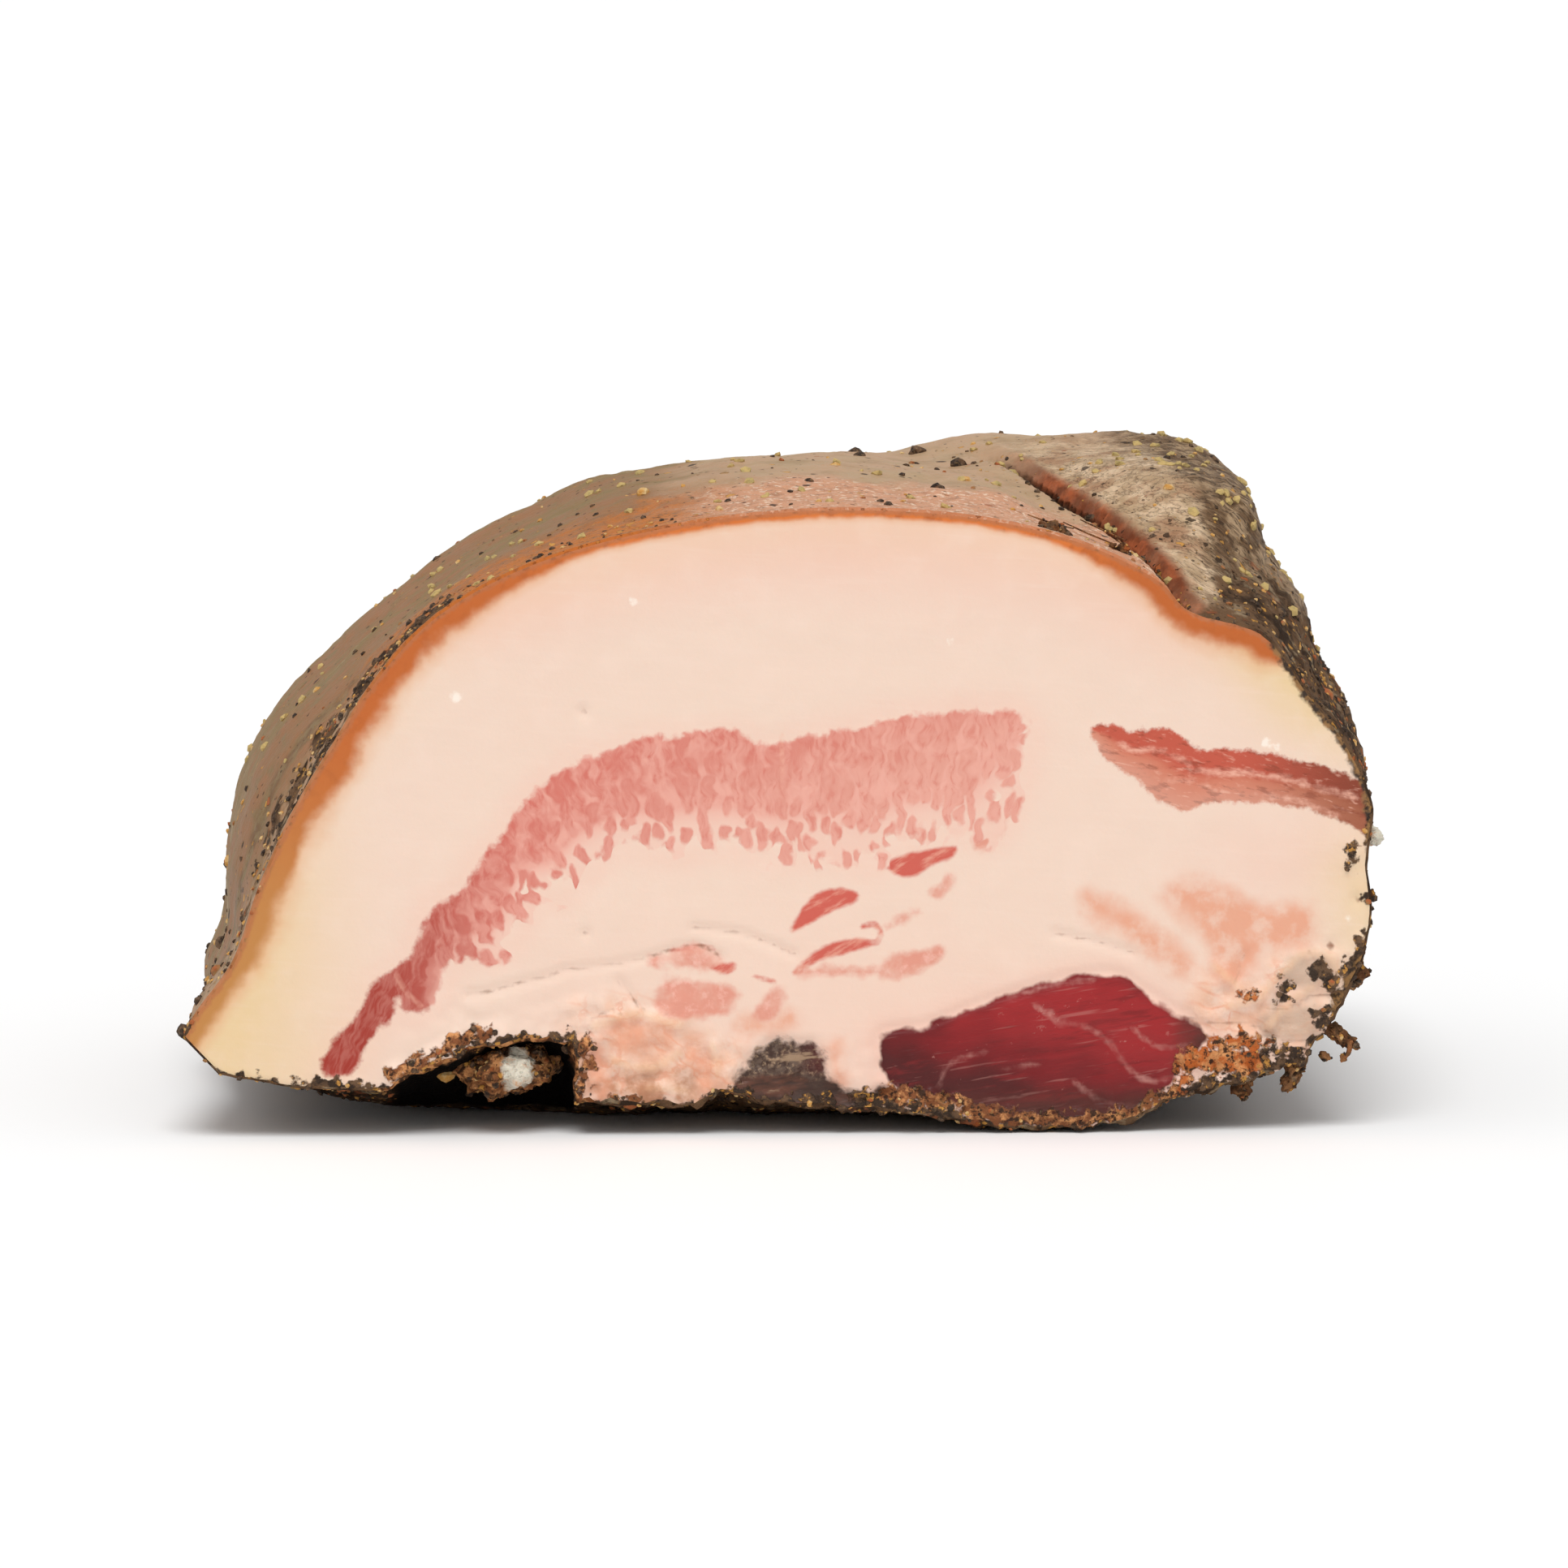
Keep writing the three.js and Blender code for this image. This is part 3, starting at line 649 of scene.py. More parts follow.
def finish_material(n, colour, roughness, height, depth, subsurface=0.0, radius=(1.0, 0.4, 0.25), reach=0.0, bump=1.0):
    shader = n.add("ShaderNodeBsdfPrincipled")
    n.put(shader.inputs["Base Color"], colour)
    n.put(shader.inputs["Roughness"], roughness)
    shader.inputs["Subsurface Weight"].default_value = subsurface
    shader.inputs["Subsurface Radius"].default_value = radius
    shader.inputs["Subsurface Scale"].default_value = reach
    shader.inputs["IOR"].default_value = 1.42
    shader.inputs["Specular IOR Level"].default_value = 0.35
    relief = n.add("ShaderNodeBump", {"Height": height, "Distance": depth, "Strength": bump})
    n.put(shader.inputs["Normal"], relief.outputs["Normal"])
    n.put(n.add("ShaderNodeOutputMaterial").inputs["Surface"], shader.outputs[0])
    return shader


def cut_material(c):
    """The cut face: rind, fat, streaks of lean, muscle, and the dry crust along the bottom."""
    material, n, where = new_material("cut_meat")
    field = n.field
    slow = n.noise(where, 26, 2)
    cloudy = n.noise(where, 5, 3)
    fine = n.noise(where, 0.8, 3)
    knife = n.noise(stretched(n, where, 4, 14), 0.7, 2)

    # Fat
    rosy = n.math("MULTIPLY_ADD", n.math("SUBTRACT", slow, 0.5), 0.5, field("rosy"), True)
    fat = n.mix(rosy, c["fat"], c["fat_rosy"])
    fat = n.mix(field("yellow"), fat, c["fat_yellow"])
    fat = n.mix(n.step(cloudy, 0.45, 0.8, 0.0, 0.25), fat, c["fat_white"])
    fat = n.mix(n.step(knife, 0.5, 0.8, 0.0, 0.16), fat, c["fat_white"])

    # Torn fat low on the cut, painted shade in its creases, and soft stains in it
    torn = n.math("MULTIPLY", field("torn"), n.step(n.noise(where, 3, 3), 0.35, 0.65, 0.15, 0.9))
    colour = n.mix(torn, fat, c["fat_torn"])
    # Painted shade: thin lines in the creases of the torn fat, painted in the stain colour
    crease_shade_lines = n.add(
        "ShaderNodeTexVoronoi", {"Vector": n.add("ShaderNodeVectorMath", {0: stretched(n, where, 24, 2), 1: n.add(
            "ShaderNodeCombineXYZ", {0: n.math("MULTIPLY", n.math("SUBTRACT", n.noise(where, 2.5, 4), 0.5), 4 * MM)},
        ).outputs[0]}, operation="ADD").outputs[0], "Scale": 1 / (3.2 * MM)}, feature="DISTANCE_TO_EDGE",
    ).outputs["Distance"]
    crease = n.math("MULTIPLY", n.step(crease_shade_lines, 0.0, 0.09, 1.0, 0.0), n.math("MULTIPLY", field("torn"), n.step(cloudy, 0.4, 0.6, 0.0, 0.7)))
    colour = n.mix(crease, colour, c["fat_orange"])
    low_torn = n.math("MULTIPLY", field("torn_low"), n.step(n.noise(where, 3.4, 4), 0.36, 0.6))
    colour = n.mix(low_torn, colour, c["fat_brown"])
    stain = n.math("MULTIPLY", ragged(n, where, field("orange"), 4.0, 0.9, 1.8), n.step(n.noise(where, 2.4, 4), 0.3, 0.6, 0.35, 0.9))
    colour = n.mix(stain, colour, c["fat_orange"])
    grey = ragged(n, where, field("grey_fat"), 3.0, 0.8, 1.2)
    colour = n.mix(n.math("MULTIPLY", grey, 0.75), colour, c["fat_grey"])

    # Small pink and red streaks
    pale = n.math("MULTIPLY", ragged(n, where, field("pale"), 2.4, 0.7, 0.7), n.step(n.noise(where, 3.6, 3), 0.3, 0.6, 0.55, 0.95))
    colour = n.mix(pale, colour, mottled(n, where, c["lean_pale"], c["gap"], 1.6, 0.35))
    slanted = stretched(n, where, -28, 4)
    red = mottled(n, slanted, c["lean_red"], c["lean_pale"], 1.2, 0.4)
    colour = n.mix(ragged(n, where, field("red"), 1.4, 0.15, 0.35), colour, red)

    # The streak that runs out to the trimmed side: two strands of long threads
    along = stretched(n, where, 13, 3.5)
    threads = n.noise(along, 1.0, 5, 0.65)
    low_strand = n.step(n.math("MULTIPLY_ADD", threads, 0.3, field("streak_low")), 0.5, 0.8)
    fresh = n.mix(low_strand, c["streak_red"], c["streak"])
    dried = n.mix(low_strand, c["streak_dried"], c["streak_brown"])
    streak = n.mix(field("darker"), fresh, dried)
    wisps = n.noise(n.add("ShaderNodeVectorMath", {0: along, 1: (0.3, 0.7, 0.2)}, operation="ADD").outputs[0], 0.6, 3)
    streak = n.mix(n.step(wisps, 0.56, 0.7, 0.0, 0.5), streak, c["gap_white"])
    streak = n.mix(n.step(threads, 0.48, 0.36, 0.0, 0.55), streak, c["streak_dried"])
    seams = n.math("MULTIPLY", ragged(n, where, field("streak_seam"), 1.6, 0.5, 0.45), n.step(threads, 0.36, 0.56, 0.35, 0.85))
    streak = n.mix(seams, streak, c["gap_white"])
    fading = n.math("MULTIPLY", n.math("MULTIPLY", n.step(field("streak_low"), 0.5, 1.0), 0.2), n.math("SUBTRACT", 1.0, field("darker")))
    edge = n.math("MULTIPLY_ADD", n.math("SUBTRACT", n.noise(where, 2.4, 5, 0.65), 0.5), 2.8, field("streak"))
    inside = n.math("MULTIPLY", n.step(edge, -0.4, 0.3, 1.0, 0.0), n.math("SUBTRACT", 1.0, fading))
    colour = n.mix(inside, colour, streak)

    # The lean band: rounded upright cells that loosen and fade towards its lower edge
    low, tip = field("band_low"), field("tip")
    firm = n.math("SUBTRACT", 1.0, tip)
    lower = n.math("MULTIPLY", n.step(low, 0.3, 1.0), n.math("MULTIPLY_ADD", tip, -0.8, 1.0))
    sway = n.math("MULTIPLY", n.math("SUBTRACT", n.noise(where, 2.6, 1), 0.5), 1.5)
    lean_over = n.math("MULTIPLY", n.math("SUBTRACT", n.noise(where, 3.4, 1), 0.5), 1.1)
    across = n.math("MULTIPLY_ADD", field("fibre_u"), 0.6, sway)
    along_cell = n.math("MULTIPLY_ADD", field("fibre_v"), 0.33, lean_over)
    at = n.add("ShaderNodeCombineXYZ", {0: across, 1: along_cell}).outputs[0]
    flat = {"Vector": at, "Scale": 1.0, "Randomness": 0.9, "Smoothness": 0.5}
    cells = n.add("ShaderNodeTexVoronoi", flat, voronoi_dimensions="2D", feature="SMOOTH_F1").outputs
    chance = n.add("ShaderNodeSeparateColor", {"Color": cells["Color"]}).outputs
    round_off = n.math("MULTIPLY_ADD", lower, -0.16, 0.44)
    round_off = n.math("MULTIPLY_ADD", n.math("SUBTRACT", chance[2], 0.5), 0.16, round_off)
    uneven = n.math("MULTIPLY_ADD", n.math("SUBTRACT", n.noise(where, 0.8, 2), 0.5), 0.2, cells["Distance"])
    fibre = n.step(uneven, round_off, n.math("ADD", round_off, 0.22), 1.0, 0.0)
    seen = n.step(n.noise(where, 4, 3), 0.35, 0.62, 0.25, 0.85)
    seen = n.math("MAXIMUM", n.math("MULTIPLY", seen, n.math("MULTIPLY_ADD", tip, -0.5, 1.0)), n.step(lower, 0.25, 0.6))
    fibre = n.math("SUBTRACT", 1.0, n.math("MULTIPLY", n.math("SUBTRACT", 1.0, fibre), seen))
    reach = n.math("MULTIPLY", n.math("SUBTRACT", chance[0], 0.45), n.math("MULTIPLY_ADD", lower, 4.6, 0.6))
    reach = n.math("MULTIPLY", reach, firm)
    reach = n.math("ADD", reach, n.math("MULTIPLY", n.math("SUBTRACT", n.noise(where, 1.6, 3), 0.5), 2.0))
    inside = n.step(n.math("ADD", field("band"), reach), -0.5, 0.4, 1.0, 0.0)
    lean = n.mix(field("band_right"), c["lean"], c["lean_faded"])
    lean = n.mix(n.math("MULTIPLY", lower, 0.25), lean, c["gap"])
    lean = n.mix(n.math("MULTIPLY", n.step(low, 0.45, 0.0), 0.3), lean, c["lean_red"])
    lean = n.mix(tip, lean, c["lean_deep"])
    grain_at = n.add("ShaderNodeCombineXYZ", {0: n.math("MULTIPLY", across, 2.6), 1: n.math("MULTIPLY", along_cell, 1.8)}).outputs[0]
    grain = n.add("ShaderNodeTexNoise", {"Vector": grain_at, "Scale": 1.0, "Detail": 3.0}).outputs["Fac"]
    light = n.step(n.math("MULTIPLY_ADD", chance[1], 0.35, grain), 0.5, 0.95, 0.0, 0.5)
    lean = n.mix(n.math("MULTIPLY", light, n.math("MULTIPLY_ADD", tip, -0.6, 1.0)), lean, c["gap"])
    lean = n.mix(n.step(grain, 0.5, 0.28, 0.0, 0.35), lean, n.mix(tip, c["lean_red"], c["lean_deep"]))
    gap_share = n.math("MULTIPLY", n.step(low, 0.05, 0.8, 0.7, 1.0), n.math("MULTIPLY_ADD", tip, -0.6, 1.0))
    gap_colour = n.mix(gap_share, lean, n.mix(n.step(lower, 0.3, 1.0, 0.0, 0.75), c["gap"], fat))
    colour = n.mix(inside, colour, n.mix(fibre, gap_colour, lean))
    split = n.math("MULTIPLY", ragged(n, where, field("split"), 1.5, 0.1, 0.3), 0.5)
    colour = n.mix(split, colour, c["gap_white"])

    # The dark muscle, with fibres along it and white seams, painted wet glints, and painted shade towards its lower
    # left
    long_way = stretched(n, where, -9, 9)
    fibres = n.noise(long_way, 1.1, 5, 0.6)
    blotch = n.noise(where, 9, 2)
    # Partly painted shade: the muscle is its own darker red at the lower left and is also painted darker there,
    # brighter towards the top right as if lit
    shade = n.math("MULTIPLY_ADD", n.math("SUBTRACT", blotch, 0.5), 0.9, field("muscle_bright"))
    muscle = n.mix(n.step(shade, 0.0, 0.5), c["muscle_dark"], c["muscle"])
    muscle = n.mix(n.step(shade, 0.45, 1.0), muscle, c["muscle_bright"])
    muscle = n.mix(n.step(fibres, 0.52, 0.7, 0.0, 0.4), muscle, c["muscle_bright"])
    muscle = n.mix(n.step(fibres, 0.46, 0.3, 0.0, 0.4), muscle, c["muscle_dark"])
    thin = n.noise(stretched(n, where, -9, 16), 0.7, 2)
    muscle = n.mix(n.step(thin, 0.6, 0.74, 0.0, 0.28), muscle, c["seam"])
    near_edge = n.math("MULTIPLY_ADD", cloudy, 2.0, field("muscle"))
    muscle = n.mix(n.step(near_edge, -0.6, 1.2, 0.0, 0.45), muscle, c["muscle_dark"])
    white = n.math("MULTIPLY", ragged(n, where, field("seam"), 1.2, 0.25, 0.45), n.step(cloudy, 0.3, 0.6, 0.2, 0.75))
    muscle = n.mix(white, muscle, c["seam"])
    # Painted highlights: small wet glints painted on the muscle in the seam colour
    glint = n.math("MULTIPLY", n.step(n.noise(where, 1.3, 3, 0.7), 0.64, 0.72), n.step(blotch, 0.42, 0.6, 0.0, 0.45))
    muscle = n.mix(glint, muscle, c["seam"])
    muscle = n.mix(n.math("MULTIPLY", field("muscle_low"), n.step(cloudy, 0.25, 0.6, 0.45, 0.9)), muscle, c["muscle_brown"])
    colour = n.mix(ragged(n, where, field("muscle"), 3.5, 0.7, 0.35), colour, muscle)

    # Fine cracks with painted shade in them, the dry brown parts and the peppered crust along the bottom
    # Partly painted shade: the fine cracks and fold lines are painted brown, partly their own colour and partly the
    # shade in them
    crack = n.math("MULTIPLY", ragged(n, where, field("crack"), 1.6, 0.22, 0.28), n.step(cloudy, 0.35, 0.6, 0.3, 0.85))
    colour = n.mix(crack, colour, c["crack"])
    dry = ragged(n, where, field("dry"), 1.8, 0.9, 0.7)
    folds = n.noise(stretched(n, where, -8, 5), 1.8, 4)
    dry_colour = n.mix(n.step(folds, 0.42, 0.58), c["dry"], c["dry_red"])
    fuzzy = mottled(n, where, c["dry"], c["dry_grey"], 0.9, 0.5, 0.14)
    fuzzy = mottled(n, where, fuzzy, c["dry_pale"], 0.6, 0.32, 0.12)
    fuzzy = n.mix(field("dry_end"), fuzzy, c["muscle_dark"])
    top = n.step(n.math("MULTIPLY_ADD", cloudy, 2.4, field("dry_top")), 1.1, 1.9)
    dry_colour = n.mix(top, dry_colour, fuzzy)
    dry_colour = n.mix(n.step(folds, 0.58, 0.66, 0.0, 0.8), dry_colour, c["dry_pale"])
    colour = n.mix(dry, colour, dry_colour)
    crust = ragged(n, where, field("crust"), 1.5, 1.3, 0.25)
    crust_colour = mottled(n, where, c["crust"], c["crust_dark"], 1.6, 0.55)
    crust_colour = mottled(n, where, crust_colour, c["ochre"], 1.1, 0.36, 0.04)
    colour = n.mix(crust, colour, crust_colour)
    crumb = ragged(n, where, field("crumb"), 1.4, 1.2, 0.3)
    by_muscle = mottled(n, where, c["rind_deep"], c["crumb_bright"], 2.2, 0.42)
    crumb_colour = n.mix(field("by_muscle"), mottled(n, where, c["crumb"], c["crumb_bright"], 1.3, 0.42), by_muscle)
    crumb_colour = mottled(n, where, crumb_colour, c["ochre_brown"], 1.8, 0.3, 0.06)
    colour = n.mix(crumb, colour, mottled(n, where, crumb_colour, c["crumb_dark"], 0.9, 0.42, 0.06))

    # Tendons that stand out of the torn fat
    cord = n.math("MULTIPLY", ragged(n, where, field("tendon"), 1.6, 0.2, 0.6), 0.45)
    colour = n.mix(n.math("MULTIPLY", cord, n.math("SUBTRACT", 1.0, n.math("MAXIMUM", crust, crumb))), colour, c["tendon"])

    # White crystals
    colour = n.mix(n.math("MULTIPLY", ragged(n, where, field("dots"), 0.7, 0.3, 0.3), 0.7), colour, c["crystal"])

    # Rind, from its brown outer edge inwards, and the darker rim of the trimmed side
    rind = n.math("ADD", field("rind"), n.math("MULTIPLY", n.math("SUBTRACT", n.noise(where, 5, 2), 0.5), 1.1))
    rind = n.math("ADD", rind, n.math("MULTIPLY", n.math("SUBTRACT", n.noise(where, 1.6, 2), 0.5), 0.4))
    colour = n.mix(n.step(rind, 0.7, 2.2, 0.75, 0.0), colour, c["rind_inner"])
    deep = n.mix(n.math("MULTIPLY", field("rind_dark"), 0.85), c["rind"], c["rind_deep"])
    rind_colour = n.mix(field("rind_pale"), mottled(n, where, deep, c["rind_deep"], 2.2, 0.4), c["rind_ochre"])
    colour = n.mix(n.step(rind, 0.6, 1.45, 1.0, 0.0), colour, rind_colour)
    outer = n.math("MULTIPLY_ADD", n.math("SUBTRACT", n.noise(where, 1.0, 3), 0.5), 1.2, field("to_rim"))
    outer = n.math("MULTIPLY", n.step(outer, 0.2, 0.75, 0.75, 0.0), n.step(field("rind"), 0.5, 0.9, 1.0, 0.0))
    colour = n.mix(outer, colour, mottled(n, where, c["rind_edge"], c["skin_dark"], 1.0, 0.35))
    trimmed = ragged(n, where, field("trimmed_rim"), 1.3, 0.45, 0.35)
    colour = n.mix(trimmed, colour, mottled(n, where, c["ochre_brown"], c["crust_dark"], 1.2, 0.5))

    rough_parts = n.math("MAXIMUM", crust, crumb)
    wet = n.math("ADD", n.step(field("muscle"), -1.0, 0.0, 0.16, 0.0), n.math("MULTIPLY", field("torn"), 0.14))
    roughness = n.math("SUBTRACT", n.math("MULTIPLY_ADD", rough_parts, 0.38, 0.46), wet)
    roughness = n.math("MULTIPLY_ADD", fine, 0.12, roughness)
    height = n.math("MULTIPLY_ADD", fine, n.math("MULTIPLY_ADD", rough_parts, 0.9, 0.06), n.math("MULTIPLY", cloudy, 0.08))
    height = n.math("ADD", height, n.math("MULTIPLY", n.math("MULTIPLY", fibre, inside), 0.05))
    height = n.math("ADD", height, n.math("MULTIPLY", fibres, n.step(field("muscle"), -0.6, 0.0, 0.25, 0.0)))
    height = n.math("ADD", height, n.math("MULTIPLY", n.noise(where, 2.2, 4), n.math("MULTIPLY", field("torn"), 0.6)))
    height = n.math("ADD", height, n.math("MULTIPLY", n.math("MULTIPLY", folds, dry), 0.9))
    finish_material(n, colour, roughness, height, 0.6 * MM, 0.15, (1.0, 0.6, 0.45), 1.4 * MM)
    return material


def skin_material(c):
    """The outside: skin that is grainy by the cut and smooth behind it, and a dark peppered crust."""
    material, n, where = new_material("skin_and_crust")
    field = n.field
    fine = n.noise(where, 0.7, 4)
    cloudy = n.noise(where, 6, 4, 0.6)

    # Skin, browner on the left flank and mottled on the hump
    skin = mottled(n, where, c["skin"], c["skin_grey"], 9, 0.45, 0.14)
    left = mottled(n, where, c["skin_brown"], c["skin_ruddy"], 9, 0.45, 0.2)
    left = mottled(n, where, left, c["skin_olive"], 3, 0.3, 0.12)
    wavy = n.math("MULTIPLY_ADD", n.math("SUBTRACT", n.noise(where, 8, 2), 0.5), 9.0, field("depth"))
    groove = n.math("MULTIPLY", n.step(n.math("ABSOLUTE", n.math("SUBTRACT", wavy, 19.0)), 0.5, 3.0, 0.8, 0.0), field("brown"))
    left = n.mix(groove, left, mottled(n, where, c["skin_dark"], c["skin_olive"], 2, 0.5))
    near_rim = mottled(n, where, c["skin"], c["skin_olive"], 2.2, 0.42, 0.1)
    left = n.mix(n.step(wavy, 16, 6, 0.0, 0.75), left, near_rim)
    skin = n.mix(field("brown"), skin, left)
    hump = mottled(n, where, c["skin_pale"], c["skin_grey"], 4, 0.5, 0.12)
    hump = mottled(n, where, hump, c["skin_rosy"], 6, 0.35, 0.12)
    fold_at = n.math("MULTIPLY_ADD", n.math("SUBTRACT", n.noise(where, 2.0, 2), 0.5), 0.8, field("fold_at"))
    hump_share = n.math("MULTIPLY", n.step(n.math("MULTIPLY_ADD", cloudy, 3.0, fold_at), 2.5, 6.0), field("pale_skin"))
    skin = n.mix(hump_share, skin, hump)
    skin = n.mix(n.step(cloudy, 0.45, 0.7, 0.0, 0.35), skin, c["skin_olive"])
    facing = n.add("ShaderNodeLayerWeight").outputs["Facing"]

    # Dried and hairy towards the trimmed side
    slanted = stretched(n, where, 42, 6)
    hairs = n.noise(slanted, 0.6, 5, 0.7)
    dried = mottled(n, where, c["skin_dark"], c["skin_grey"], 3.5, 0.46, 0.14)
    hairy = n.math("MULTIPLY_ADD", field("flank"), 0.6, n.math("MULTIPLY", hump_share, 0.2))
    flank = n.math("MULTIPLY_ADD", n.math("SUBTRACT", cloudy, 0.5), 1.2, field("flank"))
    skin = n.mix(n.step(flank, 0.15, 0.75), skin, dried)
    skin = n.mix(n.math("MULTIPLY", n.step(hairs, 0.5, 0.36), hairy), skin, c["crust_dark"])
    wrinkles = n.math("ABSOLUTE", n.math("SUBTRACT", n.noise(slanted, 1.3, 4, 0.6), 0.5))
    wrinkles = n.math("MULTIPLY", n.step(wrinkles, 0.045, 0.0), n.math("MULTIPLY_ADD", field("flank"), 0.5, hump_share))
    skin = n.mix(n.math("MULTIPLY", wrinkles, 0.55), skin, c["crust_dark"])
    skin = n.mix(n.math("MULTIPLY", n.step(hairs, 0.6, 0.72, 0.0, 0.35), hairy), skin, c["skin_fleck"])

    # The grainy band by the cut, orange brown on the upper left, with painted shade and a painted highlight near the
    # flank's silhouette
    pink = mottled(n, where, c["skin_warm"], c["skin_rosy"], 1.8, 0.4, 0.12)
    pink = mottled(n, where, pink, c["skin_fleck"], 0.9, 0.36, 0.07)
    orange = mottled(n, where, c["skin_orange"], c["skin_brown"], 2.6, 0.3, 0.12)
    orange = mottled(n, where, orange, c["skin_dark"], 1.2, 0.3, 0.1)
    olive = mottled(n, where, c["skin_olive"], c["skin_ruddy"], 3.5, 0.42, 0.12)
    olive = mottled(n, where, olive, c["skin_dark"], 1.2, 0.26, 0.08)
    back_share = n.math("MULTIPLY_ADD", n.math("SUBTRACT", n.noise(where, 5, 3), 0.5), 9.0, field("depth"))
    amber = mottled(n, where, c["skin_ruddy"], c["skin_orange"], 3, 0.5, 0.2)
    orange = n.mix(n.step(back_share, 7, 15), orange, amber)
    warm = n.mix(field("brown"), pink, n.mix(n.step(back_share, 18, 36), orange, olive))
    warm = mottled(n, where, warm, c["skin_dark"], 1.4, 0.22, 0.06)
    grainy = n.math("MULTIPLY_ADD", n.math("SUBTRACT", n.noise(where, 3, 3), 0.5), 0.8, field("warm"))
    grainy = n.step(grainy, 0.05, 0.95)
    skin = n.mix(grainy, skin, warm)
    # Painted view-angle shade: near its silhouette the left flank is painted a darker olive, by the angle it is seen at
    glow = n.math("MULTIPLY", n.step(facing, 0.84, 0.95, 0.0, 0.6), field("brown"))
    glow = n.math("MULTIPLY", glow, n.step(back_share, 20, 36))
    skin = n.mix(n.math("MULTIPLY", glow, n.step(facing, 1.0, 0.965)), skin, c["skin_glow"])
    # Painted highlight: pale olive light painted along the silhouette, where the skin is seen edge-on
    skin = n.mix(n.step(facing, 0.965, 1.0, 0.0, 0.5), skin, c["skin_edge"])

    # The rolled reddish lip of the fold, and the painted shade of the crevice under it
    fold = mottled(n, where, c["fold"], c["fold_bright"], 3.5, 0.42, 0.15)
    roll = n.math("MULTIPLY", n.step(fold_at, -0.1, 0.7), n.step(fold_at, 2.2, 4.0, 1.0, 0.0))
    roll = n.math("MULTIPLY", roll, field("fold_red"))
    skin = n.mix(n.math("MULTIPLY", roll, n.step(cloudy, 0.2, 0.6, 0.75, 1.0)), skin, fold)
    # Painted shade: the crevice under the lip is painted in the dark crust colour
    line = n.math("ABSOLUTE", n.math("ADD", fold_at, 0.1))
    line = n.math("MULTIPLY", n.step(line, 0.4, 1.3, 0.95, 0.0), field("fold_red"))
    skin = n.mix(line, skin, c["crust_dark"])

    # Crust
    crust = mottled(n, where, c["crust"], c["crust_dark"], 7, 0.5, 0.08)
    crust = mottled(n, where, crust, c["crust_grey"], 5, 0.3, 0.07)
    crust = mottled(n, where, crust, c["crust_rust"], 3.5, 0.25, 0.05)
    golden = mottled(n, where, c["crumb"], c["crumb_bright"], 1.8, 0.5, 0.1)
    golden = mottled(n, where, golden, c["crumb_dark"], 1.2, 0.44, 0.07)
    crust = n.mix(field("golden"), crust, golden)
    # Painted shade: the inside of the deep hollow is painted near black, its dark crust with the hollow's shade painted
    # into it
    crust = n.mix(field("hollow"), crust, c["hollow"])
    bare = n.math("MULTIPLY_ADD", n.math("SUBTRACT", cloudy, 0.5), 0.9, field("crusted"))
    crusted = n.step(bare, 0.35, 0.65)
    colour = n.mix(crusted, skin, crust)

    # Ground pepper: dark, ochre and rust specks, thick on the crust and thin on the skin
    cover = n.math("MULTIPLY_ADD", field("peppery"), 0.6, 0.04)
    cover = n.math("MULTIPLY", cover, n.math("SUBTRACT", 1.0, field("hollow")))
    coarse = ground_pepper(n, where, 1.7, n.math("MULTIPLY", cover, 0.9))
    bright = n.mix(n.step(coarse["Shade"], 0.8, 0.84), c["ochre"], c["rust"])
    shade = n.mix(n.step(coarse["Shade"], 0.45, 0.5), c["pepper_black"], bright)
    colour = n.mix(n.math("MULTIPLY", coarse["Mask"], 0.85), colour, shade)
    dust = ground_pepper(n, where, 0.75, cover)
    dust_colour = n.mix(n.step(dust["Shade"], 0.6, 0.65), c["pepper_black"], c["ochre"])
    colour = n.mix(n.math("MULTIPLY", dust["Mask"], 0.7), colour, dust_colour)

    # The edge by the cut, and the fat in the middle of the hanging lump
    by_cut = ragged(n, where, field("behind_cut"), 2.0, 0.4, 0.5)
    by_cut = n.math("MULTIPLY", by_cut, n.math("SUBTRACT", 1.0, crusted))
    colour = n.mix(n.math("MULTIPLY", by_cut, 0.5), colour, c["rind_deep"])
    core = ragged(n, where, field("core"), 1.6, 0.6, 0.5)
    colour = n.mix(core, colour, mottled(n, where, c["fat_core"], c["crumb_bright"], 1.6, 0.3, 0.14))

    leather = n.add("ShaderNodeTexVoronoi", {"Vector": where, "Scale": 1 / (1.1 * MM)}, feature="SMOOTH_F1").outputs["Distance"]
    roughness = n.math("MULTIPLY_ADD", crusted, 0.32, n.math("MULTIPLY_ADD", cloudy, 0.25, 0.34))
    grit = n.math("MULTIPLY_ADD", grainy, 0.55, n.math("MULTIPLY_ADD", crusted, 0.9, 0.18))
    height = n.math("MULTIPLY_ADD", fine, grit, n.math("MULTIPLY", leather, 0.16))
    height = n.math("ADD", height, n.math("MULTIPLY", n.math("ADD", coarse["Height"], dust["Height"]), 0.35))
    height = n.math("ADD", height, n.math("SUBTRACT", n.math("MULTIPLY", roll, 0.7), n.math("MULTIPLY", line, 1.6)))
    height = n.math("MULTIPLY_ADD", hairs, n.math("MULTIPLY", hairy, n.math("SUBTRACT", 1.0, roll)), height)
    shader = finish_material(n, colour, roughness, height, 0.6 * MM, 0.08, (1.0, 0.5, 0.3), 1.2 * MM)
    shader.inputs["Specular IOR Level"].default_value = 0.05
    return material


def pepper_material(name, colour, second, roughness=0.75):
    material, n, where = new_material(name)
    mixed = mottled(n, where, colour, second, 0.9, 0.45, 0.12)
    fine = n.noise(where, 0.35, 3)
    mixed = n.mix(n.step(fine, 0.55, 0.8, 0.0, 0.35), mixed, linear((210, 170, 110)))
    finish_material(n, mixed, roughness, fine, 0.15 * MM)
    return material


